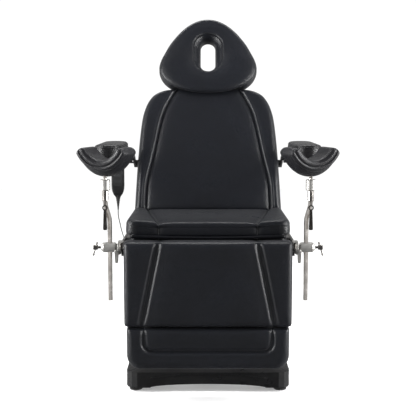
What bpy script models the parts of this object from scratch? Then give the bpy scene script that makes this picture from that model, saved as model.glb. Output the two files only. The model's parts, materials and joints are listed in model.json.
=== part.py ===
"""Powered treatment table with a raised back, a hanging leg rest and two leg supports.

Units are metres, +Z is up, +X is the table's left-to-right width and the sitter faces -Y.
Everything hangs on empties that stand on the joint axes. Positions are written from the
front plane of the seat, and the empty "table" moves the whole assembly to the origin.
"""

import math

import bmesh
import bpy
from mathutils import Matrix, Vector

# ---------------------------------------------------------------- driving dimensions
TABLE_Y = -0.42456  # moves the middle of the assembly's depth to the origin
GAP = 0.0004  # between touching pieces

SEAT_WIDTH = 0.640
SEAT_DEPTH = 0.490
SEAT_TOP_Z = 0.700
SEAT_BOTTOM_Z = 0.605
CUSHION_THICKNESS = 0.090

BACK_LEAN = math.radians(25.0)  # of the back's front face, from the vertical
BACK_LENGTH = 0.579
BACK_PIVOT = (0.0, 0.5191, 0.670)

HEAD_WIDTH = 0.440
HEAD_LENGTH = 0.352
HEAD_THICKNESS = 0.080
HEAD_START = 0.580  # along the back's face, from the seat
HEAD_PROUD = 0.035  # pillow's face in front of the back's face
HEAD_PIVOT_ALONG = 0.600
HEAD_PIVOT_DEEP = -0.085
HEAD_ROD_X = 0.080
HEAD_ROD_DEEP = -0.1045
FACE_HOLE_ALONG = 0.746

LEG_FRONT_Y = -0.095
LEG_BACK_Y = -0.010
LEG_TOP_Z = 0.634
LEG_SPLIT_Z = 0.306
LEG_BOTTOM_Z = 0.143
LEG_PIVOT = (0.0, -0.016, 0.621)
EXTENSION_WIDTH = 0.621

BASE_WIDTH = 0.658
BASE_FRONT_Y = 0.100
BASE_REAR_Y = 0.950
BASE_SKIRT_Z = 0.018
BASE_EDGE_Z = 0.081
BASE_TOP_Z = 0.110
FOOT_X = 0.292
FOOT_RADIUS = 0.026

LIFT_ANGLE = math.radians(22.0)
LIFT_ARM = 0.480
LIFT_PIVOT_Y = 0.800
LIFT_LOW_Z = 0.125
LIFT_SPACING = 0.080
LIFT_CROSS_ALONG = 0.170
LIFT_ROD_START = (0.280, 0.092)
LIFT_ROD_END = (0.612, 0.161)
BACK_ROD_START = (0.110, 0.530)
BACK_ROD_END = (0.600, 0.5435)
BACK_ROD_X = -0.090
LEG_ROD_START = (0.390, 0.532)
LEG_ROD_END = (0.0547, 0.550)
LEG_ROD_X = 0.060

RAIL_X = 0.325
RAIL_WIDTH = 0.010
RAIL_LOW_Z = 0.600
RAIL_HIGH_Z = 0.625
RAIL_FRONT_Y = -0.045
RAIL_REAR_Y = 0.400

POST_X = 0.375
POST_Y = -0.020
POST_RADIUS = 0.009
POST_LOW_Z = 0.400
CLAMP_Z = 0.606
HEAD_POST_X = 0.391
LEVER_X = 0.348
LEVER_Z = 0.592
RING_PIVOT_Z = 0.798
RING_Z = 0.760
COLLAR_Z = 0.8255
CRUTCH_X = 0.387
CRUTCH_Y = 0.000
CRUTCH_YAW = math.radians(16.0)
CRUTCH_LENGTH = 0.135
CRUTCH_TOP_Z = 0.985
CRUTCH_PIVOT_Z = 0.896

ARMREST_X = 0.404
ARMREST_PIVOT_Y = 0.650
ARMREST_PIVOT_Z = 0.906
ARMREST_FRONT_Y = 0.170

HANDSET_X = -0.395
HANDSET_Y = 0.560
HANDSET_WIDTH = 0.056
HANDSET_DEPTH = 0.024
HANDSET_LOW_Z = 0.743
HANDSET_HIGH_Z = 0.900
ROCKERS = ("rocker_height", "rocker_back", "rocker_leg")
ROCKER_Z = (0.868, 0.842, 0.816)
CORD_DIAMETER = 0.004
CORD_ROUTE = [(-0.395, 0.548, 0.6889), (-0.395, 0.5466, 0.681), (-0.3945, 0.5425, 0.668),
              (-0.392, 0.5385, 0.652), (-0.387, 0.5355, 0.632), (-0.380, 0.532, 0.602),
              (-0.367, 0.526, 0.560), (-0.351, 0.514, 0.515), (-0.334, 0.493, 0.470),
              (-0.316, 0.466, 0.436), (-0.298, 0.435, 0.421), (-0.283, 0.402, 0.426),
              (-0.273, 0.375, 0.450), (-0.2685, 0.3575, 0.485), (-0.268, 0.352, 0.505),
              (-0.268, 0.350, 0.515)]


# ---------------------------------------------------------------- scene and materials
def clear_scene():
    for thing in list(bpy.data.objects):
        bpy.data.objects.remove(thing, do_unlink=True)


MATERIALS = {}


def material(name, colour, roughness, metallic=0.0):
    """A Principled material, made once for each name."""
    if name not in MATERIALS:
        made = bpy.data.materials.new(name)
        made.use_nodes = True
        shader = made.node_tree.nodes["Principled BSDF"]
        shader.inputs["Base Color"].default_value = (*colour, 1.0)
        shader.inputs["Roughness"].default_value = roughness
        shader.inputs["Metallic"].default_value = metallic
        MATERIALS[name] = made
    return MATERIALS[name]


def leather():
    return material("black_leather", (0.018, 0.019, 0.022), 0.42)


def moulded_foam():
    return material("moulded_foam", (0.022, 0.023, 0.025), 0.5)


def cover_plastic():
    return material("cover_plastic", (0.012, 0.012, 0.013), 0.38)


def case_plastic():
    return material("case_plastic", (0.03, 0.03, 0.033), 0.45)


def button_plastic():
    return material("button_plastic", (0.16, 0.17, 0.18), 0.5)


def black_rubber():
    return material("black_rubber", (0.015, 0.015, 0.015), 0.8)


def painted_steel():
    return material("painted_steel", (0.02, 0.02, 0.022), 0.4, 0.6)


def polished_steel():
    return material("polished_steel", (0.68, 0.65, 0.61), 0.2, 1.0)


def cast_alloy():
    return material("cast_alloy", (0.55, 0.55, 0.55), 0.42, 0.9)


# ---------------------------------------------------------------- mesh tools
def object_from(mesh_data, name="shape"):
    """A new object that owns the finished bmesh."""
    mesh = bpy.data.meshes.new(name)
    bmesh.ops.recalc_face_normals(mesh_data, faces=mesh_data.faces)
    mesh_data.to_mesh(mesh)
    mesh_data.free()
    made = bpy.data.objects.new(name, mesh)
    bpy.context.collection.objects.link(made)
    return made


def bevelled(mesh_data, edges, width, segments):
    bmesh.ops.bevel(mesh_data, geom=edges, offset=width, segments=segments,
                    profile=0.5, affect="EDGES", clamp_overlap=True)


def box(low, high, bevel=0.0, segments=2):
    """A box between two corners, with all edges rounded if asked."""
    mesh_data = bmesh.new()
    bmesh.ops.create_cube(mesh_data, size=1.0)
    low = Vector(low)
    high = Vector(high)
    middle = (low + high) / 2
    size = high - low
    for vertex in mesh_data.verts:
        vertex.co = Vector(vertex.co[i] * size[i] + middle[i] for i in range(3))
    if bevel:
        bevelled(mesh_data, list(mesh_data.edges), bevel, segments)
    return object_from(mesh_data)


def prism(outline, low, high, axis="Z", bevel=0.0, segments=2):
    """An outline extruded from low to high along an axis.

    The outline's two numbers are Y, Z for axis X; X, Z for axis Y; and X, Y for axis Z.
    """
    places = {
        "X": lambda a, b, c: (c, a, b),
        "Y": lambda a, b, c: (a, c, b),
        "Z": lambda a, b, c: (a, b, c),
    }
    mesh_data = bmesh.new()
    bottom = [mesh_data.verts.new(places[axis](a, b, low)) for a, b in outline]
    top = [mesh_data.verts.new(places[axis](a, b, high)) for a, b in outline]
    mesh_data.faces.new(bottom)
    mesh_data.faces.new(top)
    count = len(outline)
    for i in range(count):
        j = (i + 1) % count
        mesh_data.faces.new((bottom[i], bottom[j], top[j], top[i]))
    bmesh.ops.recalc_face_normals(mesh_data, faces=mesh_data.faces)
    if bevel:
        rims = [edge for edge in mesh_data.edges
                if all(v in set(bottom) for v in edge.verts) or all(v in set(top) for v in edge.verts)]
        bevelled(mesh_data, rims, bevel, segments)
    return object_from(mesh_data)


def turned(profile, start, direction, sides=16):
    """A solid of revolution: (radius, distance) pairs from start along direction."""
    start = Vector(start)
    turn = Vector((0, 0, 1)).rotation_difference(Vector(direction).normalized()).to_matrix()
    mesh_data = bmesh.new()
    rings = []
    for radius, along in profile:
        if radius == 0:
            rings.append([mesh_data.verts.new(start + turn @ Vector((0, 0, along)))])
            continue
        ring = []
        for i in range(sides):
            angle = math.tau * i / sides
            spot = Vector((radius * math.cos(angle), radius * math.sin(angle), along))
            ring.append(mesh_data.verts.new(start + turn @ spot))
        rings.append(ring)
    for lower, upper in zip(rings, rings[1:]):
        for i in range(sides):
            j = (i + 1) % sides
            if len(lower) == 1:
                mesh_data.faces.new((lower[0], upper[j], upper[i]))
            elif len(upper) == 1:
                mesh_data.faces.new((lower[i], lower[j], upper[0]))
            else:
                mesh_data.faces.new((lower[i], lower[j], upper[j], upper[i]))
    for ring in (rings[0], rings[-1]):
        if len(ring) > 1:
            mesh_data.faces.new(ring)
    return object_from(mesh_data)


def cylinder(start, end, radius, sides=16):
    length = (Vector(end) - Vector(start)).length
    return turned([(radius, 0.0), (radius, length)], start, Vector(end) - Vector(start), sides)


def rounded_rectangle(half_a, half_b, radius, centre=(0.0, 0.0), steps=3):
    """Corner points of a rectangle whose four corners are arcs."""
    points = []
    for turn, (sa, sb) in enumerate(((1, 1), (-1, 1), (-1, -1), (1, -1))):
        for i in range(steps + 1):
            angle = math.pi / 2 * (turn + i / steps)
            points.append((centre[0] + sa * (half_a - radius) + radius * math.cos(angle),
                           centre[1] + sb * (half_b - radius) + radius * math.sin(angle)))
    return points


def capsule(start, end, radius_start, radius_end, steps=5):
    """Outline of a link: two round ends joined by straight sides."""
    heading = math.atan2(end[1] - start[1], end[0] - start[0])
    points = []
    for centre, radius, turn in ((start, radius_start, math.pi / 2), (end, radius_end, -math.pi / 2)):
        for i in range(steps + 1):
            angle = heading + turn + math.pi * i / steps
            points.append((centre[0] + radius * math.cos(angle), centre[1] + radius * math.sin(angle)))
    return points


def smooth_tube(points, radius, sides_resolution=3):
    """A round bar along a polyline, as a curve with filled caps."""
    curve = bpy.data.curves.new("bar", "CURVE")
    curve.dimensions = "3D"
    spline = curve.splines.new("POLY")
    spline.points.add(len(points) - 1)
    for knot, spot in zip(spline.points, points):
        knot.co = (*spot, 1.0)
    curve.bevel_depth = radius
    curve.bevel_resolution = sides_resolution
    curve.use_fill_caps = True
    made = bpy.data.objects.new("bar", curve)
    bpy.context.collection.objects.link(made)
    return made


def smooth_route(points, spacing):
    """Points about every spacing metres along a Catmull-Rom curve through the route."""
    knots = [Vector(p) for p in points]
    knots = [knots[0] * 2 - knots[1]] + knots + [knots[-1] * 2 - knots[-2]]
    fine = []
    for i in range(1, len(knots) - 2):
        a, b, c, d = knots[i - 1:i + 3]
        for step in range(40):
            t = step / 40
            fine.append(0.5 * (2 * b + (c - a) * t + (2 * a - 5 * b + 4 * c - d) * t * t
                               + (3 * b - a - 3 * c + d) * t ** 3))
    fine.append(knots[-2])
    length = sum((q - p).length for p, q in zip(fine, fine[1:]))
    count = max(2, round(length / spacing))
    picked = [fine[0]]
    travelled = 0.0
    for p, q in zip(fine, fine[1:]):
        travelled += (q - p).length
        if travelled >= length * len(picked) / count and len(picked) < count:
            picked.append(q)
    picked.append(fine[-1])
    return picked


def baked(thing):
    """The object as its modifiers leave it, as a plain mesh."""
    bpy.context.view_layer.update()
    shown = thing.evaluated_get(bpy.context.evaluated_depsgraph_get())
    mesh = bpy.data.meshes.new_from_object(shown)
    made = bpy.data.objects.new(thing.name, mesh)
    bpy.context.collection.objects.link(made)
    made.matrix_world = thing.matrix_world
    bpy.data.objects.remove(thing, do_unlink=True)
    return made


def combined(first, others, operation):
    """One mesh from a Boolean of the first object with each of the others."""
    if first.type != "MESH":
        first = baked(first)
    for other in others:
        if other.type != "MESH":
            other = baked(other)
        change = first.modifiers.new("boolean", "BOOLEAN")
        change.operation = operation
        change.object = other
        first = baked(first)
        bpy.data.objects.remove(other, do_unlink=True)
    return first


def union(first, *others):
    return combined(first, others, "UNION")


def cut(first, *others):
    return combined(first, others, "DIFFERENCE")


# ---------------------------------------------------------------- bodies on joint axes
PIVOTS = {}


def body(name, parent, pivot):
    """An empty on a joint's axis, which carries the pieces that move together."""
    empty = bpy.data.objects.new(name + "_axis", None)
    empty.empty_display_size = 0.05
    bpy.context.collection.objects.link(empty)
    if parent:
        empty.parent = PIVOTS[parent][0]
        empty.location = Vector(pivot) - PIVOTS[parent][1]
    else:
        empty.location = (0, TABLE_Y, 0)
    PIVOTS[name] = (empty, Vector(pivot))


def finish(made, name, finish_material, body_name):
    """Names a piece, gives it its material and hangs it on its body's empty."""
    if made.type != "MESH" and made.type != "CURVE":
        made = baked(made)
    made.name = name
    made.data.name = name
    made.data.materials.clear()
    made.data.materials.append(finish_material)
    empty, pivot = PIVOTS[body_name]
    made.parent = empty
    made.location = -pivot
    if made.type == "MESH":
        made.data.transform(Matrix.Translation(-pivot))
        made.location = (0, 0, 0)
        made.data.shade_smooth()
        made.data.set_sharp_from_angle(angle=math.radians(35))
    return made


def mirrored(points):
    """The same outline on the other side of X = 0, walked the other way."""
    return [(-a, b) for a, b in reversed(points)]


def slab(outline, deep, proud, origin, lean, bevel, segments=3):
    """A flat-faced pad in a leaning plane.

    The outline is (across, along); the pad reaches from -deep to +proud along the face's
    outward direction. The plane passes through origin and leans back by lean.
    """
    made = prism(outline, -deep, proud, "Z", bevel, segments)
    along = Vector((0, math.sin(lean), math.cos(lean)))
    out = Vector((0, -math.cos(lean), math.sin(lean)))
    across = Vector((1, 0, 0))
    turn = Matrix((across, along, out)).transposed()
    made.data.transform(Matrix.Translation(Vector(origin)) @ turn.to_4x4())
    return made


def on_back(along, out, x=0.0):
    """World point at a distance along the back's face and out from it."""
    return Vector((x,
                   SEAT_DEPTH + 0.010 + along * math.sin(BACK_LEAN) - out * math.cos(BACK_LEAN),
                   SEAT_TOP_Z + along * math.cos(BACK_LEAN) + out * math.sin(BACK_LEAN)))


# ---------------------------------------------------------------- base
def base_frame():
    """Two long tubes over the feet, three cross tubes and the lift's pivot brackets."""
    low, high = 0.036, 0.066
    pieces = [box((side * FOOT_X - 0.020, BASE_FRONT_Y + 0.020, low),
                  (side * FOOT_X + 0.020, BASE_REAR_Y - 0.020, high)) for side in (-1, 1)]
    for y in (BASE_FRONT_Y + 0.070, 0.480, BASE_REAR_Y - 0.080):
        pieces.append(box((-FOOT_X, y - 0.020, low + 0.002), (FOOT_X, y + 0.020, high - 0.002)))
    for side in (-1, 1):
        inner, outer = sorted((side * 0.174, side * 0.184))
        plate = [(LIFT_PIVOT_Y - 0.035, low + 0.004), (LIFT_PIVOT_Y + 0.090, low + 0.004),
                 (LIFT_PIVOT_Y + 0.025, LIFT_LOW_Z + LIFT_SPACING + 0.010),
                 (LIFT_PIVOT_Y + 0.012, LIFT_LOW_Z + LIFT_SPACING + 0.020),
                 (LIFT_PIVOT_Y - 0.012, LIFT_LOW_Z + LIFT_SPACING + 0.020),
                 (LIFT_PIVOT_Y - 0.025, LIFT_LOW_Z + LIFT_SPACING + 0.010)]
        pieces.append(prism(plate, inner, outer, "X"))
        pieces.append(cylinder((side * 0.179, LIFT_PIVOT_Y, LIFT_LOW_Z),
                               (side * 0.146, LIFT_PIVOT_Y, LIFT_LOW_Z), 0.009, 12))
        pieces.append(cylinder((side * 0.179, LIFT_PIVOT_Y, LIFT_LOW_Z + LIFT_SPACING),
                               (side * 0.111, LIFT_PIVOT_Y, LIFT_LOW_Z + LIFT_SPACING), 0.009, 12))
        start_y, start_z = LIFT_ROD_START
        pieces.append(box((side * 0.030 - 0.004, start_y - 0.018, 0.062),
                          (side * 0.030 + 0.004, start_y + 0.0065, start_z + 0.014)))
    pieces.append(box((-0.040, BASE_FRONT_Y + 0.070, low + 0.004),
                      (0.040, BASE_FRONT_Y + 0.205, high - 0.001)))
    pieces.append(box((-0.200, LIFT_PIVOT_Y - 0.030, low + 0.006),
                      (0.200, LIFT_PIVOT_Y + 0.080, high - 0.003)))
    for side in (-1, 1):
        pieces.append(box((side * 0.240 - 0.045, LIFT_PIVOT_Y - 0.020, low + 0.005),
                          (side * 0.240 + 0.045, LIFT_PIVOT_Y + 0.020, high - 0.005)))
    finish(union(*pieces), "base_frame", painted_steel(), "base")


def skirt_outline(margin):
    """The cover's outline from above, drawn in by a margin."""
    half_x = BASE_WIDTH / 2 - margin
    half_y = (BASE_REAR_Y - BASE_FRONT_Y) / 2 - margin
    return rounded_rectangle(half_x, half_y, 0.045, (0.0, (BASE_REAR_Y + BASE_FRONT_Y) / 2), 3)


def cover_shell(margin, low, edge, top, slope):
    """A low box with a vertical edge and a top that slopes in to a flat middle."""
    mesh_data = bmesh.new()
    rings = []
    for drawn_in, z in ((margin, low), (margin, edge), (margin + slope, top)):
        rings.append([mesh_data.verts.new((x, y, z)) for x, y in skirt_outline(drawn_in)])
    for lower, upper in zip(rings, rings[1:]):
        for i in range(len(lower)):
            j = (i + 1) % len(lower)
            mesh_data.faces.new((lower[i], lower[j], upper[j], upper[i]))
    mesh_data.faces.new(rings[0])
    mesh_data.faces.new(rings[-1])
    return object_from(mesh_data)


def base_cover():
    """Moulded cover, open below, with an arched front and a slot for the lift."""
    wall = 0.004
    shell = cover_shell(0.0, BASE_SKIRT_Z, BASE_EDGE_Z, BASE_TOP_Z, 0.120)
    hollow = cover_shell(wall, BASE_SKIRT_Z - 0.010, BASE_EDGE_Z - wall, BASE_TOP_Z - wall, 0.120)
    slot = box((-0.215, 0.225, 0.050), (0.215, 0.900, 0.200))
    arch_half, arch_rise = 0.235, 0.016
    arch = []
    for i in range(13):
        angle = math.pi * i / 12
        arch.append((arch_half * math.cos(angle), BASE_SKIRT_Z - 0.0005 + arch_rise * math.sin(angle)))
    arch = [(-arch_half, BASE_SKIRT_Z - 0.02), (arch_half, BASE_SKIRT_Z - 0.02)] + arch
    tunnel = prism(arch, BASE_FRONT_Y - 0.02, BASE_REAR_Y + 0.02, "Y")
    inlet = box((0.160, BASE_REAR_Y - 0.030, 0.040), (0.210, BASE_REAR_Y + 0.010, 0.070))
    finish(cut(shell, hollow, slot, tunnel, inlet), "base_cover", cover_plastic(), "base")


def levelling_foot(name, side, y):
    """A two-tier pad on a threaded stem."""
    profile = [(FOOT_RADIUS - 0.002, 0.0), (FOOT_RADIUS, 0.002),
               (FOOT_RADIUS, 0.008), (FOOT_RADIUS - 0.006, 0.010),
               (FOOT_RADIUS - 0.007, 0.016), (0.006, 0.018), (0.006, 0.036 - GAP)]
    made = turned(profile, (side * FOOT_X, y, 0.0), (0, 0, 1), 16)
    finish(made, name, black_rubber(), "base")


def mains_inlet():
    """A recessed appliance inlet with three blades, behind the cover's rear wall."""
    low = (0.160 + 0.0005, BASE_REAR_Y - 0.026, 0.040 + 0.0005)
    high = (0.210 - 0.0005, BASE_REAR_Y + 0.001, 0.070 - 0.0005)
    case = box(low, high, 0.0015, 1)
    well = box((low[0] + 0.010, BASE_REAR_Y - 0.018, low[2] + 0.004),
               (high[0] - 0.010, BASE_REAR_Y + 0.010, high[2] - 0.004))
    case = cut(case, well)
    blades = [box((0.185 + dx - 0.001, BASE_REAR_Y - 0.020, 0.055 + dz - 0.002),
                  (0.185 + dx + 0.001, BASE_REAR_Y - 0.004, 0.055 + dz + 0.002))
              for dx, dz in ((-0.007, -0.002), (0.0, 0.003), (0.007, -0.002))]
    finish(union(case, *blades), "mains_inlet", case_plastic(), "base")


# ---------------------------------------------------------------- lift
def lift_point(angle, along, height):
    """Y, Z of a point along a lift arm that stands at an angle."""
    return (LIFT_PIVOT_Y - along * math.cos(angle), height + along * math.sin(angle))


def lift_arm(name, body_name, height, side_x, cross_along, lever):
    """Two side bars with pivot eyes at both ends, joined by a cross tube."""
    pieces = []
    near = (LIFT_PIVOT_Y, height)
    far = lift_point(LIFT_ANGLE, LIFT_ARM, height)
    for side in (-1, 1):
        inner, outer = sorted((side * side_x, side * (side_x + 0.018)))
        bar = prism(capsule(near, far, 0.018, 0.018, 5), inner, outer, "X")
        for y, z in (near, far):
            bar = cut(bar, cylinder((inner - 0.01, y, z), (outer + 0.01, y, z), 0.0095, 12))
        pieces.append(bar)
    y, z = lift_point(LIFT_ANGLE, cross_along, height)
    pieces.append(cylinder((-side_x - 0.009, y, z), (side_x + 0.009, y, z), 0.012, 12))
    if lever:
        pieces.append(prism(capsule((y, z), LIFT_ROD_END, 0.014, 0.010, 6), -0.006, 0.006, "X"))
    finish(union(*pieces), name, painted_steel(), body_name)


def carriage():
    """Plates that carry the far ends of the lift arms and bolt up under the seat frame."""
    low_y, low_z = lift_point(LIFT_ANGLE, LIFT_ARM, LIFT_LOW_Z)
    high_z = low_z + LIFT_SPACING
    pieces = []
    for side in (-1, 1):
        inner, outer = sorted((side * 0.174, side * 0.184))
        plate = [(low_y - 0.022, low_z - 0.018), (low_y + 0.022, low_z - 0.018),
                 (low_y + 0.026, high_z + 0.020),
                 (low_y + 0.080, 0.560), (low_y - 0.060, 0.560), (low_y - 0.026, high_z + 0.020)]
        pieces.append(prism(plate, inner, outer, "X"))
        pieces.append(cylinder((side * 0.179, low_y, low_z), (side * 0.146, low_y, low_z), 0.009, 12))
        pieces.append(cylinder((side * 0.179, low_y, high_z), (side * 0.111, low_y, high_z), 0.009, 12))
        flange_in, flange_out = sorted((side * 0.150, side * 0.215))
        pieces.append(box((flange_in, low_y - 0.055, 0.5545), (flange_out, low_y + 0.075, 0.565 - GAP)))
    pieces.append(box((-0.179, low_y - 0.015, high_z + 0.036), (0.179, low_y + 0.015, high_z + 0.060)))
    finish(union(*pieces), "carriage", painted_steel(), "seat")


def actuator(prefix, start, end, case_length, rod_start, bore_start, bodies, x=0.0):
    """A linear motor: square case with a motor pot beside it, and a rod with a forked end.

    The bore starts far enough back for the rod's inner end when the rod is drawn in.
    """
    case_body, rod_body = bodies
    start = Vector((x, *start))
    end = Vector((x, *end))
    along = (end - start).normalized()
    up = Vector((1, 0, 0)).cross(along)
    turn = Matrix((Vector((1, 0, 0)), along, up)).transposed().to_4x4()
    to_world = Matrix.Translation(start) @ turn
    length = (end - start).length

    case = box((-0.022, 0.016, -0.022), (0.022, case_length, 0.022), 0.003, 1)
    tail = prism(capsule((0.0, 0.0), (0.020, 0.0), 0.012, 0.012, 6), -0.009, 0.009, "X")
    tail = cut(tail, cylinder((-0.02, 0, 0), (0.02, 0, 0), 0.005, 12))
    motor = cylinder((0.038, 0.020, 0.0), (0.038, 0.110, 0.0), 0.020, 20)
    gearbox = box((0.010, 0.017, -0.021), (0.050, 0.036, 0.021), 0.002, 1)
    bore = cylinder((0, bore_start, 0), (0, case_length + 0.02, 0), 0.0115, 20)
    case = cut(union(case, tail, gearbox, motor), bore)
    case.data.transform(to_world)
    finish(case, prefix + "_body", case_plastic(), case_body)

    rod = cylinder((0, rod_start, 0), (0, length - 0.036, 0), 0.011, 20)
    fork = box((-0.016, length - 0.042, -0.010), (0.016, length + 0.010, 0.010), 0.002, 1)
    fork = union(rod, fork)
    fork = cut(fork, box((-0.008, length - 0.030, -0.02), (0.008, length + 0.02, 0.02)))
    fork.data.transform(to_world)
    finish(fork, prefix + "_rod", polished_steel(), rod_body)


# ---------------------------------------------------------------- seat
def seat_frame():
    """Long tubes under the seat, with lugs that reach the back's and the leg rest's axes."""
    low, high = 0.565, 0.595
    back_y, back_z = BACK_PIVOT[1], BACK_PIVOT[2]
    leg_y, leg_z = LEG_PIVOT[1], LEG_PIVOT[2]
    rear_lug = [(0.480, low + 0.005), (back_y + 0.022, low + 0.005), (back_y + 0.011, back_z + 0.004),
                (back_y + 0.006, back_z + 0.010), (back_y - 0.006, back_z + 0.010),
                (back_y - 0.011, back_z + 0.004), (back_y - 0.015, 0.600), (0.480, high - 0.003)]
    front_lug = [(0.010, low + 0.005), (0.010, high - 0.004), (-0.005, 0.600), (-0.005, leg_z + 0.005),
                 (-0.010, leg_z + 0.010), (-0.022, leg_z + 0.010), (-0.0275, leg_z + 0.004),
                 (-0.0275, low + 0.012), (-0.020, low + 0.005)]
    pieces = [box((-0.205, y, low + 0.001), (0.205, y + 0.030, high - 0.001)) for y in (0.095, 0.375)]
    for side in (-1, 1):
        inner, outer = sorted((side * 0.190, side * 0.220))
        pieces.append(box((inner, -0.001, low), (outer, 0.500, high)))
        lug_inner, lug_outer = sorted((side * 0.206, side * 0.214))
        pieces.append(prism(rear_lug, lug_inner, lug_outer, "X"))
        pieces.append(prism(front_lug, lug_inner, lug_outer, "X"))
        for y, z in ((back_y, back_z), (leg_y, leg_z)):
            pieces.append(cylinder((side * 0.210, y, z), (side * 0.1925, y, z), 0.006, 10))
        for y in (0.000, 0.320):
            stand_in, stand_out = sorted((side * 0.205, side * (RAIL_X + RAIL_WIDTH - 0.001)))
            pieces.append(box((stand_in, y, low + 0.004), (stand_out, y + 0.040, high - 0.004)))
            foot_in, foot_out = sorted((side * RAIL_X, side * (RAIL_X + RAIL_WIDTH - 0.001)))
            pieces.append(box((foot_in, y, high - 0.010), (foot_out, y + 0.040, RAIL_LOW_Z - GAP)))
    for (start_y, start_z), x in ((BACK_ROD_START, BACK_ROD_X), (LEG_ROD_START, LEG_ROD_X)):
        for shift in (-0.014, 0.014):
            pieces.append(box((x + shift - 0.004, start_y - 0.010, start_z - 0.012),
                              (x + shift + 0.004, start_y + 0.010, low + 0.006)))
    x, y, z = CORD_ROUTE[-1]
    pieces.append(box((x - 0.016, y - 0.016, z + 0.0225), (x + 0.016, y + 0.016, low + 0.008)))
    finish(union(*pieces), "seat_frame", painted_steel(), "seat")


def seat_outline():
    """The seat from above, with round front corners."""
    half = SEAT_WIDTH / 2
    radius = 0.045
    points = [(half, SEAT_DEPTH), (-half, SEAT_DEPTH)]
    for i in range(7):
        angle = math.pi + math.pi / 2 * i / 6
        points.append((-half + radius + radius * math.cos(angle), radius + radius * math.sin(angle)))
    for i in range(7):
        angle = -math.pi / 2 + math.pi / 2 * i / 6
        points.append((half - radius + radius * math.cos(angle), radius + radius * math.sin(angle)))
    return points


def seat_cushion():
    """Foam block with rounded rims."""
    pad = prism(seat_outline(), SEAT_BOTTOM_Z, SEAT_TOP_Z, "Z", 0.014, 2)
    finish(pad, "seat_cushion", leather(), "seat")


def side_rail(name, side):
    """Flat accessory rail with an end stop."""
    inner, outer = sorted((side * RAIL_X, side * (RAIL_X + RAIL_WIDTH)))
    bar = box((inner, RAIL_FRONT_Y, RAIL_LOW_Z), (outer, RAIL_REAR_Y, RAIL_HIGH_Z), 0.0015, 1)
    stop_x = side * (RAIL_X + RAIL_WIDTH / 2)
    stop = cylinder((stop_x, RAIL_REAR_Y - 0.010, RAIL_HIGH_Z - 0.010),
                    (stop_x, RAIL_REAR_Y - 0.010, RAIL_HIGH_Z + 0.007), 0.0042, 12)
    finish(union(bar, stop), name, polished_steel(), "seat")


def control_box():
    """Motor controller under the seat frame."""
    case = box((0.224, 0.150, 0.515), (0.302, 0.335, 0.5686), 0.004, 1)
    lip = box((0.2205, 0.146, 0.538), (0.306, 0.339, 0.542))
    finish(union(case, lip), "control_box", case_plastic(), "seat")


def cord_gland():
    """Threaded gland in a tab on the seat frame, where the handset's cord ends."""
    x, y, z = CORD_ROUTE[-1]
    profile = [(0.009, 0.0), (0.009, 0.006), (0.0065, 0.0065),
               (0.0065, 0.012), (0.0045, 0.018), (0.0028, 0.022)]
    made = turned(profile, (x, y, z + 0.022 + GAP), (0, 0, -1), 16)
    finish(made, "cord_gland", black_rubber(), "seat")


def handset_cord():
    """The cord hangs from the handset's boot in a slack loop to the gland."""
    route = smooth_route(CORD_ROUTE, CORD_DIAMETER * 3)
    finish(smooth_tube(route, CORD_DIAMETER / 2, 2), "handset_cord", black_rubber(), "seat")


# ---------------------------------------------------------------- back
BACK_SIDE = [(0.320, -0.012), (0.311, 0.237), (0.300, 0.408), (0.287, 0.486), (0.2685, 0.536),
             (0.244, 0.562), (0.205, 0.576), (0.150, BACK_LENGTH)]


def back_box(x_low, x_high, along_low, along_high, out_low, out_high):
    """A box in the back's leaning frame."""
    outline = [(x_low, along_low), (x_high, along_low), (x_high, along_high), (x_low, along_high)]
    return slab(outline, -out_low, out_high, on_back(0, 0), BACK_LEAN, 0.0)


def back_cushion():
    """Long pad with round shoulders, notched at the bottom for the hinge lugs."""
    outline = BACK_SIDE + mirrored(BACK_SIDE)
    pad = slab(outline, CUSHION_THICKNESS, 0.0, on_back(0, 0), BACK_LEAN, 0.016, 2)
    notches = [back_box(side * 0.205 - 0.019, side * 0.205 + 0.019, -0.05, 0.006, -0.12, -0.012)
               for side in (-1, 1)]
    finish(cut(pad, *notches), "back_cushion", leather(), "back")


def back_frame():
    """Tube frame behind the pad: hinge lugs, actuator lever, headrest guides, armrest brackets."""
    out_low, out_high = -0.117, -0.0915
    pieces = []
    for side in (-1, 1):
        x_low, x_high = sorted((side * 0.160, side * 0.1885))
        pieces.append(back_box(x_low, x_high, -0.016, 0.520, out_low, out_high))
        lug_low, lug_high = sorted((side * 0.1935, side * 0.2045))
        root_low, root_high = sorted((side * 0.180, side * 0.2045))
        pieces.append(back_box(root_low, root_high, -0.0305, 0.010, out_low + 0.001, -0.094))
        lug = back_box(lug_low, lug_high, -0.0300, -0.0085, -0.105, -0.0195)
        x = side * 0.199
        hole = cylinder((x - 0.02, *BACK_PIVOT[1:]), (x + 0.02, *BACK_PIVOT[1:]), 0.0065, 10)
        pieces.append(cut(lug, hole))
    for along in (-0.008, 0.238, 0.480):
        pieces.append(back_box(-0.165, 0.165, along, along + 0.026, out_low + 0.001, out_high - 0.001))
    lever = prism(capsule((BACK_ROD_END[0] + 0.010, 0.678), BACK_ROD_END, 0.016, 0.011, 6),
                  BACK_ROD_X - 0.006, BACK_ROD_X + 0.006, "X")
    pieces.append(lever)
    for side in (-1, 1):
        pieces.append(cylinder(on_back(0.420, HEAD_ROD_DEEP, side * HEAD_ROD_X),
                               on_back(0.555, HEAD_ROD_DEEP, side * HEAD_ROD_X), 0.0115, 12))
        pieces.append(armrest_bracket(side))
    frame = union(*pieces)
    bores = [cylinder(on_back(0.410, HEAD_ROD_DEEP, side * HEAD_ROD_X),
                      on_back(0.565, HEAD_ROD_DEEP, side * HEAD_ROD_X), 0.0070, 12) for side in (-1, 1)]
    finish(cut(frame, *bores), "back_frame", painted_steel(), "back")


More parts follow.
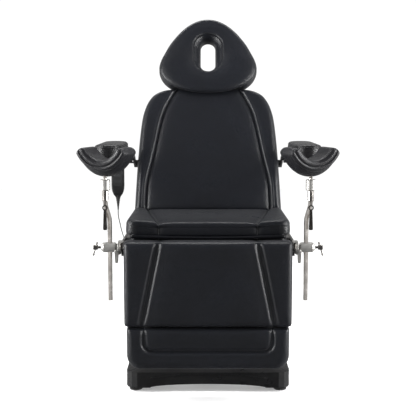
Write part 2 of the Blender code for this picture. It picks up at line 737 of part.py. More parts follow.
def armrest_bracket(side):
    """Bar out of the back frame with a lug and a pin for the armrest; the left one also has a hook."""
    along = 0.250
    x_low, x_high = sorted((side * 0.170, side * 0.3345))
    bar = back_box(x_low, x_high, along - 0.014, along + 0.014, -0.116, -0.0945)
    lug_low, lug_high = sorted((side * 0.3265, side * 0.3345))
    pivot = (ARMREST_PIVOT_Y, ARMREST_PIVOT_Z)
    lug = prism(capsule(pivot, tuple(on_back(along, -0.104))[1:], 0.017, 0.012, 5),
                lug_low, lug_high, "X")
    pin = cylinder((side * 0.330, *pivot), (side * 0.354, *pivot),
                   0.006, 16)
    parts = [bar, lug, pin]
    if side < 0:
        low_z = HANDSET_HIGH_Z - 0.014
        parts.append(box((HANDSET_X - 0.003, HANDSET_Y + 0.002, low_z),
                         (HANDSET_X + 0.003, 0.668, low_z + 0.006)))
        parts.append(box((HANDSET_X - 0.003, 0.660, low_z), (-0.330, 0.668, low_z + 0.006)))
        parts.append(box((-0.3345, 0.660, low_z - 0.004), (-0.3275, 0.668, ARMREST_PIVOT_Z)))
    return union(*parts)


def handset():
    """Hand control with a rounded lower end, a boot for its cord and a slot that hangs on the hook."""
    half = HANDSET_WIDTH / 2
    outline = []
    for i in range(13):
        angle = math.pi * (1 + i / 12)
        outline.append((HANDSET_X + half * math.cos(angle),
                        HANDSET_LOW_Z + 0.052 + 0.052 * math.sin(angle)))
    outline += [(HANDSET_X + half, HANDSET_HIGH_Z - 0.012), (HANDSET_X + half - 0.010, HANDSET_HIGH_Z),
                (HANDSET_X - half + 0.010, HANDSET_HIGH_Z), (HANDSET_X - half, HANDSET_HIGH_Z - 0.012)]
    case = prism(outline, HANDSET_Y - HANDSET_DEPTH, HANDSET_Y, "Y", 0.004, 2)
    boot = turned([(0.0060, 0.0), (0.0035, 0.030), (0.0032, 0.057)],
                  (HANDSET_X, HANDSET_Y - HANDSET_DEPTH / 2, HANDSET_LOW_Z + 0.0033), (0, 0, -1), 12)
    case = union(case, boot)
    loop = box((HANDSET_X - 0.010, HANDSET_Y - 0.002, HANDSET_HIGH_Z - 0.022),
               (HANDSET_X + 0.010, HANDSET_Y + 0.008, HANDSET_HIGH_Z - 0.003), 0.001, 1)
    slot = box((HANDSET_X - 0.0034, HANDSET_Y + 0.0005, HANDSET_HIGH_Z - 0.030),
               (HANDSET_X + 0.0034, HANDSET_Y + 0.020, HANDSET_HIGH_Z - 0.0076))
    case = cut(union(case, loop), slot)
    wells = [box((HANDSET_X - 0.0135, HANDSET_Y - HANDSET_DEPTH - 0.01, z - 0.0085),
                 (HANDSET_X + 0.0135, HANDSET_Y - HANDSET_DEPTH + 0.006, z + 0.0085)) for z in ROCKER_Z]
    finish(cut(case, *wells), "handset", case_plastic(), "back")


def rocker(name, z):
    """A two-way switch that tips about its middle."""
    front = HANDSET_Y - HANDSET_DEPTH
    profile = [(front + 0.0030, z - 0.0070), (front + 0.0030, z + 0.0070), (front - 0.0020, z + 0.0076),
               (front - 0.0008, z), (front - 0.0020, z - 0.0076)]
    made = prism(profile, HANDSET_X - 0.0125, HANDSET_X + 0.0125, "X", 0.0006, 1)
    finish(made, name, button_plastic(), name)


# ---------------------------------------------------------------- head
def head_slider():
    """Two round rods joined by a bar with ears for the tilting head plate."""
    pieces = []
    for side in (-1, 1):
        pieces.append(cylinder(on_back(0.300, HEAD_ROD_DEEP, side * HEAD_ROD_X),
                               on_back(0.612, HEAD_ROD_DEEP, side * HEAD_ROD_X), 0.0063, 12))
        ear_low, ear_high = sorted((side * 0.0525, side * 0.0605))
        pieces.append(prism(capsule(tuple(on_back(HEAD_PIVOT_ALONG, HEAD_PIVOT_DEEP))[1:],
                                    tuple(on_back(HEAD_PIVOT_ALONG, HEAD_ROD_DEEP))[1:], 0.0090, 0.0075, 6),
                            ear_low, ear_high, "X"))
    pieces.append(back_box(-0.092, 0.092, HEAD_PIVOT_ALONG - 0.009, HEAD_PIVOT_ALONG + 0.009,
                           HEAD_ROD_DEEP - 0.009, HEAD_ROD_DEEP + 0.009))
    pieces.append(cylinder(on_back(HEAD_PIVOT_ALONG, HEAD_PIVOT_DEEP, -0.056),
                           on_back(HEAD_PIVOT_ALONG, HEAD_PIVOT_DEEP, 0.056), 0.005, 16))
    finish(union(*pieces), "head_slider", polished_steel(), "head_slider")


def egg_outline(half_width, length, shift, grow=0.0):
    """The pillow's outline: widest low down, round below and domed above."""
    widest = shift + 0.40 * length
    points = []
    for i in range(32):
        angle = math.tau * i / 32
        across = math.copysign(abs(math.cos(angle)) ** 0.86, math.cos(angle))
        rise = math.sin(angle)
        reach = 0.60 * length if rise > 0 else 0.40 * length
        power = 0.92 if rise > 0 else 0.80
        points.append(((half_width + grow) * across,
                       widest + math.copysign(abs(rise) ** power, rise) * (reach + grow)))
    return points


def face_hole(half_width, half_height, along):
    return rounded_rectangle(half_width, half_height, half_width * 0.999, (0.0, along), 5)


def head_plate():
    """Moulded board under the pillow, with ears on the tilt axis and an opening for the face."""
    outline = egg_outline(HEAD_WIDTH / 2 - 0.045, HEAD_LENGTH - 0.090, HEAD_START + 0.045)
    board = slab(outline, 0.0520, -0.0455, on_back(0, 0), BACK_LEAN, 0.0)
    ears = []
    pivot = tuple(on_back(HEAD_PIVOT_ALONG, HEAD_PIVOT_DEEP))[1:]
    for side in (-1, 1):
        low, high = sorted((side * 0.0400, side * 0.0510))
        top = tuple(on_back(HEAD_PIVOT_ALONG + 0.034, -0.056))[1:]
        ear = prism(capsule(pivot, top, 0.010, 0.010, 5), low, high, "X")
        hole = cylinder(on_back(HEAD_PIVOT_ALONG, HEAD_PIVOT_DEEP, low - 0.01),
                        on_back(HEAD_PIVOT_ALONG, HEAD_PIVOT_DEEP, high + 0.01), 0.0055, 16)
        ears.append(cut(ear, hole))
    board = union(board, *ears)
    hole = slab(face_hole(0.040, 0.084, FACE_HOLE_ALONG), 0.08, 0.06, on_back(0, 0), BACK_LEAN, 0.0)
    finish(cut(board, hole), "head_plate", cover_plastic(), "head")


def head_pillow():
    """Egg-shaped pillow with a long opening for the face."""
    outline = egg_outline(HEAD_WIDTH / 2, HEAD_LENGTH, HEAD_START)
    pad = slab(outline, HEAD_THICKNESS - HEAD_PROUD, HEAD_PROUD, on_back(0, 0), BACK_LEAN, 0.030, 2)
    hole = slab(face_hole(0.040, 0.084, FACE_HOLE_ALONG), 0.08, 0.06, on_back(0, 0), BACK_LEAN, 0.0)
    finish(cut(pad, hole), "head_pillow", leather(), "head")


# ---------------------------------------------------------------- leg rest
def leg_frame():
    """Tube frame behind the leg pad, with hinge lugs, the actuator's lever and guides for the extension."""
    front_y, rear_y = LEG_BACK_Y + 0.0015, LEG_BACK_Y + 0.0265
    leg_y, leg_z = LEG_PIVOT[1], LEG_PIVOT[2]
    lug_shape = [(-0.0083, 0.530), (0.0140, 0.530), (0.0140, 0.552),
                 (-0.0045, 0.560), (-0.0045, leg_z + 0.006),
                 (-0.0100, leg_z + 0.0105), (-0.0220, leg_z + 0.0105), (-0.0265, leg_z + 0.004),
                 (-0.0265, 0.580), (-0.0083, 0.562)]
    pieces = []
    for side in (-1, 1):
        low_x, high_x = sorted((side * 0.156, side * 0.1860))
        pieces.append(box((low_x, front_y, LEG_SPLIT_Z + 0.020), (high_x, rear_y, 0.556)))
        root_low, root_high = sorted((side * 0.170, side * 0.2045))
        pieces.append(box((root_low, front_y + 0.001, 0.532), (root_high, rear_y - 0.003, 0.551)))
        lug_low, lug_high = sorted((side * 0.1935, side * 0.2045))
        lug = prism(lug_shape, lug_low, lug_high, "X")
        hole = cylinder((lug_low - 0.01, leg_y, leg_z), (lug_high + 0.01, leg_y, leg_z), 0.0065, 10)
        pieces.append(cut(lug, hole))
    for z in (0.330, 0.528):
        pieces.append(box((-0.170, front_y + 0.001, z), (0.170, rear_y - 0.001, z + 0.024)))
    lever = capsule((0.006, 0.540), LEG_ROD_END, 0.012, 0.010, 6)
    pieces.append(prism(lever, LEG_ROD_X - 0.006, LEG_ROD_X + 0.006, "X"))
    frame = union(*pieces)
    wells = [box((side * 0.171 - 0.0105, front_y + 0.0045, LEG_SPLIT_Z - 0.02),
                 (side * 0.171 + 0.0105, rear_y - 0.0045, 0.528)) for side in (-1, 1)]
    finish(cut(frame, *wells), "leg_frame", painted_steel(), "leg")


def leg_cushion():
    """Upper pad of the leg rest, notched behind for the hinge lugs."""
    half = SEAT_WIDTH / 2
    outline = rounded_rectangle(half, (LEG_TOP_Z - LEG_SPLIT_Z - 0.0015) / 2, 0.014,
                                (0.0, (LEG_TOP_Z + LEG_SPLIT_Z + 0.0015) / 2), 3)
    pad = prism(outline, LEG_FRONT_Y, LEG_BACK_Y, "Y", 0.014, 2)
    notches = [box((side * 0.205 - 0.0185, -0.0305, 0.555), (side * 0.205 + 0.0185, 0.0, 0.66))
               for side in (-1, 1)]
    finish(cut(pad, *notches), "leg_cushion", leather(), "leg")


def extension_outline():
    """The lower pad from the front: square above, with large round corners below."""
    half = EXTENSION_WIDTH / 2
    top = LEG_SPLIT_Z - 0.0015
    radius = 0.055
    points = [(half, top), (-half, top)]
    for i in range(8):
        angle = math.pi + math.pi / 2 * i / 7
        points.append((-half + radius + radius * math.cos(angle),
                       LEG_BOTTOM_Z + radius + radius * math.sin(angle)))
    return points + [(-x, z) for x, z in reversed(points[2:])]


def extension_cushion():
    pad = prism(extension_outline(), LEG_FRONT_Y, LEG_BACK_Y, "Y", 0.014, 2)
    finish(pad, "extension_cushion", leather(), "extension")


def extension_frame():
    """Two bars that slide in the leg frame's tubes, on a plate behind the lower pad."""
    front_y, rear_y = LEG_BACK_Y + 0.0015, LEG_BACK_Y + 0.0265
    pieces = [box((-0.230, LEG_BACK_Y + 0.0005, LEG_BOTTOM_Z + 0.030),
                  (0.230, LEG_BACK_Y + 0.0065, LEG_SPLIT_Z - 0.010))]
    for side in (-1, 1):
        pieces.append(box((side * 0.171 - 0.010, front_y + 0.0050, LEG_BOTTOM_Z + 0.050),
                          (side * 0.171 + 0.010, rear_y - 0.0050, 0.522)))
    finish(union(*pieces), "extension_frame", painted_steel(), "extension")


# ---------------------------------------------------------------- armrests
def armrest_arm(name, side, body_name):
    """Hub on the bracket's pin, an arm that runs forward and a plate under the pad."""
    y, z = ARMREST_PIVOT_Y, ARMREST_PIVOT_Z
    low_x, high_x = sorted((side * 0.3385, side * 0.3530))
    hub = cylinder((low_x, y, z), (high_x, y, z), 0.017, 20)
    arm = prism([(y - 0.005, z - 0.010), (y + 0.005, z + 0.012),
                 (y - 0.060, z + 0.0235), (ARMREST_FRONT_Y + 0.090, z + 0.0235),
                 (ARMREST_FRONT_Y + 0.090, z + 0.008), (y - 0.075, z + 0.004)], low_x, high_x, "X")
    plate_low, plate_high = sorted((side * 0.340, side * (ARMREST_X + 0.030)))
    plate = box((plate_low, ARMREST_FRONT_Y + 0.070, z + 0.0215), (plate_high, y - 0.095, z + 0.0285))
    made = union(hub, arm, plate)
    pin_hole = cylinder((side * 0.330, y, z), (side * 0.3545, y, z), 0.0064, 16)
    finish(cut(made, pin_hole), name, painted_steel(), body_name)


def armrest_pad(name, side, body_name):
    """Long rounded pad."""
    low_z = ARMREST_PIVOT_Z + 0.029
    length = ARMREST_PIVOT_Y - 0.045 - ARMREST_FRONT_Y
    middle = (side * ARMREST_X, ARMREST_FRONT_Y + length / 2)
    outline = rounded_rectangle(0.054, length / 2, 0.050, middle, 5)
    finish(prism(outline, low_z, low_z + 0.063, "Z", 0.018, 2), name, leather(), body_name)


# ---------------------------------------------------------------- leg supports
def rail_clamp(name, side, body_name):
    """Block that hooks over the rail, a spacer ring and a barrel bored for the post."""
    rail_top, rail_low = RAIL_HIGH_Z, RAIL_LOW_Z
    low_x, high_x = sorted((side * 0.3225, side * 0.3450))
    block = box((low_x, POST_Y - 0.0195, rail_low - 0.0200),
                (high_x, POST_Y + 0.0195, rail_top + 0.0060), 0.002, 1)
    slot_low, slot_high = sorted((side * (RAIL_X - 0.0008), side * (RAIL_X + RAIL_WIDTH + 0.0006)))
    slot = box((slot_low, POST_Y - 0.05, rail_low - 0.0006), (slot_high, POST_Y + 0.05, rail_top + 0.0006))
    block = cut(block, slot)
    throat_low, throat_high = sorted((side * 0.3150, side * (RAIL_X + RAIL_WIDTH - 0.001)))
    block = cut(block, box((throat_low, POST_Y - 0.05, rail_low - 0.030),
                           (throat_high, POST_Y + 0.05, rail_top - 0.006)))
    barrel = turned([(0.0150, 0.0), (0.0150, 0.0100), (0.0195, 0.0110),
                     (0.0195, 0.0560), (0.0160, 0.0610), (0.0110, 0.0655)],
                    (side * 0.3430, POST_Y, CLAMP_Z), (side, 0, 0), 18)
    made = union(block, barrel)
    bore = cylinder((side * POST_X, POST_Y, CLAMP_Z - 0.04),
                    (side * POST_X, POST_Y, CLAMP_Z + 0.04), POST_RADIUS + 0.0006, 16)
    thread = cylinder((side * (POST_X + 0.004), POST_Y, CLAMP_Z), (side * 0.420, POST_Y, CLAMP_Z), 0.0056, 16)
    stud = cylinder((side * LEVER_X, POST_Y - 0.0300, LEVER_Z),
                    (side * LEVER_X, POST_Y - 0.0150, LEVER_Z), 0.0042, 12)
    shelf = box((min(side * 0.3365, side * 0.3520), POST_Y - 0.0195, LEVER_Z - 0.008),
                (max(side * 0.3365, side * 0.3520), POST_Y - 0.0080, LEVER_Z + 0.008))
    made = union(cut(made, bore, thread), shelf, stud)
    finish(made, name, cast_alloy(), body_name)


def lock_lever(name, side, body_name):
    """Flat lever that hangs from a stud on the clamp."""
    front, rear = POST_Y - 0.0275, POST_Y - 0.0205
    blade = prism(capsule((side * LEVER_X, LEVER_Z), (side * LEVER_X, LEVER_Z - 0.038), 0.0085, 0.0065, 5),
                  front, rear, "Y", 0.001, 1)
    hole = cylinder((side * LEVER_X, front - 0.01, LEVER_Z),
                    (side * LEVER_X, rear + 0.01, LEVER_Z), 0.0047, 12)
    finish(cut(blade, hole), name, cast_alloy(), body_name)


def tommy_line(side):
    """Middle and direction of the sliding bar, which leans in its oversize hole."""
    return Vector((side * 0.4297, POST_Y, CLAMP_Z)), Vector((-side * 0.30, 0, 0.954)).normalized()


def clamp_screw(name, side, body_name):
    """Threaded rod into the barrel with a hub outside, cross-bored for the sliding bar."""
    profile = [(0.0050, 0.0), (0.0050, 0.0330), (0.0100, 0.0345), (0.0100, 0.0500), (0.0080, 0.0520)]
    made = turned(profile, (side * 0.3875, POST_Y, CLAMP_Z), (side, 0, 0), 20)
    middle, direction = tommy_line(side)
    hole = cylinder(middle - direction * 0.03, middle + direction * 0.03, 0.0035, 12)
    finish(cut(made, hole), name, polished_steel(), body_name)


def tommy_bar(name, side, body_name):
    """Sliding bar with a ball at each end, hanging mostly below the hub."""
    middle, direction = tommy_line(side)
    top = middle + direction * 0.0180
    profile = [(0.0, 0.0), (0.0030, 0.0010), (0.0046, 0.0035), (0.0046, 0.0058), (0.0030, 0.0085),
               (0.0030, 0.0480), (0.0046, 0.0507), (0.0046, 0.0530), (0.0030, 0.0555), (0.0, 0.0565)]
    lowest = top - direction * 0.0565 + direction * 0.0040
    finish(turned(profile, lowest, direction, 12), name, polished_steel(), body_name)


def stirrup_post(name, side, body_name):
    """Post with a bend near the top, a slotted head and a stub for the collar."""
    spots = [(POST_X, POST_LOW_Z), (POST_X, 0.550), (POST_X, 0.700)]
    for i in range(1, 7):
        t = i / 6
        ease = t * t * (3 - 2 * t)
        spots.append((POST_X + (HEAD_POST_X - POST_X) * ease, 0.705 + 0.075 * t))
    spots.append((HEAD_POST_X, 0.800))
    rod = smooth_tube([(side * x, POST_Y, z) for x, z in spots], POST_RADIUS, 2)
    head = turned([(0.0100, 0.0), (0.0118, 0.0020), (0.0118, 0.0400), (0.0075, 0.0415), (0.0075, 0.0630)],
                  (side * HEAD_POST_X, POST_Y, 0.7830), (0, 0, 1), 20)
    made = union(rod, head)
    slot = box((side * HEAD_POST_X - 0.0022, POST_Y - 0.03, 0.770),
               (side * HEAD_POST_X + 0.0022, POST_Y + 0.0040, 0.8180))
    made = cut(made, slot)
    pin = cylinder((side * HEAD_POST_X - 0.006, POST_Y - 0.004, RING_PIVOT_Z),
                   (side * HEAD_POST_X + 0.006, POST_Y - 0.004, RING_PIVOT_Z), 0.0022, 12)
    finish(union(made, pin), name, polished_steel(), body_name)


def ring_lever(name, side, body_name):
    """Tang in the post's slot, a ring below it and a flat handle that hangs down."""
    x = side * HEAD_POST_X
    front = POST_Y - 0.0165
    pivot = (POST_Y - 0.004, RING_PIVOT_Z)
    tang = prism(capsule(pivot, (front + 0.0005, 0.770), 0.0050, 0.0040, 6), x - 0.0017, x + 0.0017, "X")
    pin_hole = cylinder((x - 0.01, *pivot), (x + 0.01, *pivot), 0.0027, 12)
    tang = cut(tang, pin_hole)
    ring = cylinder((x, front - 0.0020, RING_Z), (x, front + 0.0020, RING_Z), 0.0105, 20)
    handle = prism([(x - 0.0050, RING_Z - 0.006), (x + 0.0050, RING_Z - 0.006),
                    (x + 0.0080, 0.680), (x + 0.0060, 0.674),
                    (x - 0.0060, 0.674), (x - 0.0080, 0.680)], front - 0.0018, front + 0.0018, "Y")
    eye = cylinder((x, front - 0.01, RING_Z), (x, front + 0.01, RING_Z), 0.0058, 16)
    made = cut(union(ring, handle, tang), eye)
    finish(made, name, polished_steel(), body_name)


def collar(name, side, body_name):
    """Knurled ring that locks the leg support's neck."""
    profile = [(0.0175, 0.0), (0.0193, 0.0020), (0.0193, 0.0380), (0.0175, 0.0400)]
    made = turned(profile, (side * HEAD_POST_X, POST_Y, COLLAR_Z), (0, 0, 1), 20)
    bore = cylinder((side * HEAD_POST_X, POST_Y, COLLAR_Z - 0.01),
                    (side * HEAD_POST_X, POST_Y, COLLAR_Z + 0.05), 0.0081, 14)
    finish(cut(made, bore), name, cast_alloy(), body_name)


def crutch_bracket(name, side, body_name):
    """Flared neck with a round bar across its top, on which the leg pad tilts."""
    x = side * HEAD_POST_X
    profile = [(0.0070, 0.0), (0.0070, 0.0200), (0.0065, 0.0240), (0.0105, 0.0470)]
    neck = turned(profile, (x, POST_Y, 0.8475), (0, 0, 1), 20)
    middle, across = crutch_axis(side)
    bar = cylinder(middle - across * 0.026, middle + across * 0.026, 0.0090, 16)
    finish(union(neck, bar), name, polished_steel(), body_name)


def crutch_axis(side):
    """Middle and direction of the pad's tilt axis, square to the trough."""
    across = Vector((math.cos(CRUTCH_YAW), side * math.sin(CRUTCH_YAW), 0))
    return Vector((side * HEAD_POST_X, POST_Y, CRUTCH_PIVOT_Z)), across


def crutch_pad(name, side, body_name):
    """Trough for the calf: a thick U, open above and at both ends, with a boss around the tilt bar."""
    outline = []
    outer_half, outer_deep = 0.092, 0.100
    inner_half, inner_deep = 0.062, 0.068
    for i in range(15):
        angle = math.pi + math.pi * i / 14
        outline.append((outer_half * math.cos(angle), CRUTCH_TOP_Z + outer_deep * math.sin(angle)))
    for i in range(13):
        angle = math.tau - math.pi * i / 12
        outline.append((inner_half * math.cos(angle), CRUTCH_TOP_Z + inner_deep * math.sin(angle)))
    pad = prism(outline, -CRUTCH_LENGTH / 2, CRUTCH_LENGTH / 2, "Y", 0.008, 1)
    middle, across = crutch_axis(side)
    turn = Matrix.Rotation(side * CRUTCH_YAW, 4, "Z")
    place = Matrix.Translation((side * CRUTCH_X, CRUTCH_Y, 0)) @ turn
    pad.data.transform(place)
    above = middle + Vector((0, 0, 0.002))
    boss = cylinder(above - across * 0.034, above + across * 0.034, 0.016, 16)
    room = cylinder(middle - across * 0.0265, middle + across * 0.0265, 0.0096, 16)
    throat_top = CRUTCH_PIVOT_Z + 0.0040
    throat = prism([(-0.016, CRUTCH_PIVOT_Z - 0.05), (0.016, CRUTCH_PIVOT_Z - 0.05),
                    (0.016, throat_top), (-0.016, throat_top)], -0.030, 0.030, "Y")
    throat.data.transform(Matrix.Translation((middle.x, middle.y, 0)) @ turn)
    finish(cut(union(pad, boss), room, throat), name, moulded_foam(), body_name)


# ---------------------------------------------------------------- assembly
SIDES = (("left", -1), ("right", 1))


def make_bodies():
    """Empties on every joint axis, parents first."""
    low_y, low_z = lift_point(LIFT_ANGLE, LIFT_ARM, LIFT_LOW_Z)
    body("base", None, (0, 0, 0))
    body("lower_arm", "base", (0, LIFT_PIVOT_Y, LIFT_LOW_Z))
    body("upper_arm", "base", (0, LIFT_PIVOT_Y, LIFT_LOW_Z + LIFT_SPACING))
    body("lift_actuator", "base", (0, *LIFT_ROD_START))
    body("lift_rod", "lift_actuator", (0, *LIFT_ROD_START))
    body("seat", "lower_arm", (0, low_y, low_z))
    body("back_rod", "seat", (BACK_ROD_X, *BACK_ROD_START))
    body("leg_rod", "seat", (LEG_ROD_X, *LEG_ROD_START))
    body("back", "seat", BACK_PIVOT)
    body("head_slider", "back", on_back(HEAD_PIVOT_ALONG, HEAD_ROD_DEEP))
    body("head", "head_slider", on_back(HEAD_PIVOT_ALONG, HEAD_PIVOT_DEEP))
    body("leg", "seat", LEG_PIVOT)
    body("extension", "leg", (0, LEG_BACK_Y, LEG_SPLIT_Z))
    for name, z in zip(ROCKERS, ROCKER_Z):
        body(name, "back", (HANDSET_X, HANDSET_Y - HANDSET_DEPTH + 0.003, z))
    for word, side in SIDES:
        body("armrest_" + word, "back", (side * 0.345, ARMREST_PIVOT_Y, ARMREST_PIVOT_Z))
        body("clamp_" + word, "seat", (side * RAIL_X, POST_Y, RAIL_LOW_Z))
        body("lock_" + word, "clamp_" + word, (side * LEVER_X, POST_Y - 0.024, LEVER_Z))
        body("screw_" + word, "clamp_" + word, (side * 0.3875, POST_Y, CLAMP_Z))
        body("tommy_" + word, "screw_" + word, tommy_line(side)[0])
        body("post_" + word, "clamp_" + word, (side * POST_X, POST_Y, CLAMP_Z))
        body("ring_" + word, "post_" + word, (side * HEAD_POST_X, POST_Y - 0.004, RING_PIVOT_Z))
        body("collar_" + word, "post_" + word, (side * HEAD_POST_X, POST_Y, COLLAR_Z))
        body("neck_" + word, "post_" + word, (side * HEAD_POST_X, POST_Y, 0.8475))
        body("crutch_" + word, "neck_" + word, crutch_axis(side)[0])


def make_pieces():
    base_frame()
    base_cover()
    for word, side in SIDES:
        levelling_foot("foot_front_" + word, side, BASE_FRONT_Y + 0.050)
        levelling_foot("foot_rear_" + word, side, BASE_REAR_Y - 0.050)
    mains_inlet()
    lift_arm("lift_arm_lower", "lower_arm", LIFT_LOW_Z, 0.150, LIFT_CROSS_ALONG, True)
    lift_arm("lift_arm_upper", "upper_arm", LIFT_LOW_Z + LIFT_SPACING, 0.115, 0.320, False)
    carriage()
    actuator("lift_actuator", LIFT_ROD_START, LIFT_ROD_END,
             0.235, 0.100, 0.088, ("lift_actuator", "lift_rod"))
    actuator("back_actuator", BACK_ROD_START, BACK_ROD_END,
             0.275, 0.250, 0.080, ("seat", "back_rod"), BACK_ROD_X)
    actuator("leg_actuator", LEG_ROD_START, LEG_ROD_END,
             0.240, 0.070, 0.058, ("seat", "leg_rod"), LEG_ROD_X)
    seat_frame()
    seat_cushion()
    control_box()
    cord_gland()
    handset_cord()
    back_frame()
    back_cushion()
    handset()
    for name, z in zip(ROCKERS, ROCKER_Z):
        rocker(name, z)
    head_slider()
    head_plate()
    head_pillow()
    leg_frame()
    leg_cushion()
    extension_frame()
    extension_cushion()
    for word, side in SIDES:
        side_rail("side_rail_" + word, side)
        armrest_arm("armrest_arm_" + word, side, "armrest_" + word)
        armrest_pad("armrest_pad_" + word, side, "armrest_" + word)
        rail_clamp("rail_clamp_" + word, side, "clamp_" + word)
        lock_lever("lock_lever_" + word, side, "lock_" + word)
        clamp_screw("clamp_screw_" + word, side, "screw_" + word)
        tommy_bar("tommy_bar_" + word, side, "tommy_" + word)
        stirrup_post("stirrup_post_" + word, side, "post_" + word)
        ring_lever("ring_lever_" + word, side, "ring_" + word)
        collar("collar_" + word, side, "collar_" + word)
        crutch_bracket("crutch_bracket_" + word, side, "neck_" + word)
        crutch_pad("crutch_pad_" + word, side, "crutch_" + word)


clear_scene()
make_bodies()
make_pieces()
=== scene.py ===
import json
import math

import bmesh
import bpy
import numpy as np
from mathutils import Matrix, Vector


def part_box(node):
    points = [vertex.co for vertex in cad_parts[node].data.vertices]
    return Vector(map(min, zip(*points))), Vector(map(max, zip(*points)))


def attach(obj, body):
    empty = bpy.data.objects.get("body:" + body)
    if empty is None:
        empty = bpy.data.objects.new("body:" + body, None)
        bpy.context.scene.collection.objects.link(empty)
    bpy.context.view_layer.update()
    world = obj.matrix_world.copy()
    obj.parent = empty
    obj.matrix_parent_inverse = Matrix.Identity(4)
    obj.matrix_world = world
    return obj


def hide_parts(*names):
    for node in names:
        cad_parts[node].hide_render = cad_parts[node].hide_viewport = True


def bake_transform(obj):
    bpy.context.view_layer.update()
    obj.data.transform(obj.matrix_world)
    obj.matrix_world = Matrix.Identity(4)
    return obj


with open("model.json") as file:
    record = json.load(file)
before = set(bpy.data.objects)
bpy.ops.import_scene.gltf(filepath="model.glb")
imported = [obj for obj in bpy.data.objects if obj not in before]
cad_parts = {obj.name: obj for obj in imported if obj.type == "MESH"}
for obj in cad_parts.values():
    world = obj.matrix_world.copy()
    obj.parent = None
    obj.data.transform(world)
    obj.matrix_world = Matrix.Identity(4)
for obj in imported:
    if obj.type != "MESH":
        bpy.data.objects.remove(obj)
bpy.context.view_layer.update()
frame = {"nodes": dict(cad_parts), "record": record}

SIDES = (("left", -1), ("right", 1))


# ---- places read from the frame
seat_low, seat_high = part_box("seat_cushion")
leg_low, leg_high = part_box("leg_cushion")
extension_low, extension_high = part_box("extension_cushion")
base_low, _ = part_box("base_cover")

FRONT_Y = seat_low.y  # plane of the seat's front
SLIDE_AXIS = next(j["axis"] for j in frame["record"]["behaviour"]["joints"]
                  if j["name"] == "headrest_slide")
BACK_LEAN = math.atan2(SLIDE_AXIS[1], SLIDE_AXIS[2])
BACK_ORIGIN = Vector((0, seat_high.y + 0.01, seat_high.z))
BACK_UP = Vector((0, math.sin(BACK_LEAN), math.cos(BACK_LEAN)))
BACK_OUT = Vector((0, -math.cos(BACK_LEAN), math.sin(BACK_LEAN)))


def on_back(x, along, out):
    return Vector((x, 0, 0)) + BACK_ORIGIN + BACK_UP * along + BACK_OUT * out


# ---- camera
CAMERA_DISTANCE = 3.7  # from the plane of the seat's front
CAMERA_HEIGHT = 1.153
CAMERA_TILT = math.radians(6.14)
CAMERA_LENS = 84.05


def add_camera():
    data = bpy.data.cameras.new("camera")
    data.lens = CAMERA_LENS
    camera = bpy.data.objects.new("camera", data)
    camera.location = (0, FRONT_Y - CAMERA_DISTANCE, CAMERA_HEIGHT)
    camera.rotation_euler = (math.radians(90) - CAMERA_TILT, 0, 0)
    bpy.context.scene.collection.objects.link(camera)
    bpy.context.scene.camera = camera


add_camera()


# ---- mesh helpers
def add_mesh(name, points, faces, material, smooth=True):
    """One object from a list of points and a list of faces."""
    mesh = bpy.data.meshes.new(name)
    mesh.from_pydata([tuple(p) for p in points], [], faces)
    mesh.update()
    made = bmesh.new()
    made.from_mesh(mesh)
    bmesh.ops.recalc_face_normals(made, faces=made.faces)
    made.to_mesh(mesh)
    made.free()
    if smooth:
        mesh.shade_smooth()
    mesh.materials.append(material)
    thing = bpy.data.objects.new(name, mesh)
    bpy.context.scene.collection.objects.link(thing)
    return thing


def smooth_line(points, spacing):
    """Even points along a Catmull-Rom curve through the given ones."""
    knots = [Vector(p) for p in points]
    knots = [knots[0] * 2 - knots[1]] + knots + [knots[-1] * 2 - knots[-2]]
    fine = []
    for i in range(1, len(knots) - 2):
        a, b, c, d = knots[i - 1:i + 3]
        for step in range(40):
            t = step / 40
            fine.append(0.5 * (2 * b + (c - a) * t + (2 * a - 5 * b + 4 * c - d) * t * t
                               + (3 * b - a - 3 * c + d) * t ** 3))
    fine.append(knots[-2])
    lengths = np.cumsum([0.0] + [(q - p).length for p, q in zip(fine, fine[1:])])
    count = max(2, round(lengths[-1] / spacing))
    wanted = np.linspace(0, lengths[-1], count + 1)
    columns = [np.interp(wanted, lengths, [p[axis] for p in fine]) for axis in range(3)]
    return [Vector(p) for p in zip(*columns)]


def circle(centre, side, other, radius, sides):
    """Points round a centre, in the plane of two unit vectors."""
    angles = [math.tau * k / sides for k in range(sides)]
    return [centre + (side * math.cos(a) + other * math.sin(a)) * radius for a in angles]


def loft_faces(rings, sides, closed=False):
    """Quads between neighbouring rings, with a face over each end unless the last ring meets the first."""
    faces = []
    for i in range(rings if closed else rings - 1):
        j = (i + 1) % rings
        for k in range(sides):
            n = (k + 1) % sides
            faces.append((i * sides + k, i * sides + n, j * sides + n, j * sides + k))
    if not closed:
        faces.append(tuple(range(sides)))
        faces.append(tuple(range((rings - 1) * sides, rings * sides)))
    return faces


def add_loft(name, rings, material, closed=False, smooth=True):
    """One object through rings with the same number of points."""
    points = [p for ring in rings for p in ring]
    return add_mesh(name, points, loft_faces(len(rings), len(rings[0]), closed), material, smooth)


def tube_rings(path, radii, sides):
    """Rings of a tube along the path, with a frame carried along it."""
    rings = []
    side = None
    for i, centre in enumerate(path):
        ahead = (path[min(i + 1, len(path) - 1)] - path[max(i - 1, 0)]).normalized()
        if side is None:
            side = ahead.orthogonal().normalized()
        side = (side - ahead * side.dot(ahead)).normalized()
        rings.append(circle(centre, side, ahead.cross(side), radii[i], sides))
    return rings


def add_turned(name, profile, start, axis, sides, material):
    """A solid of revolution from (radius, distance along the axis) pairs, closed at both ends."""
    side = axis.orthogonal().normalized()
    other = axis.cross(side)
    rings = [circle(start + axis * along, side, other, radius, sides) for radius, along in profile]
    return add_loft(name, rings, material)


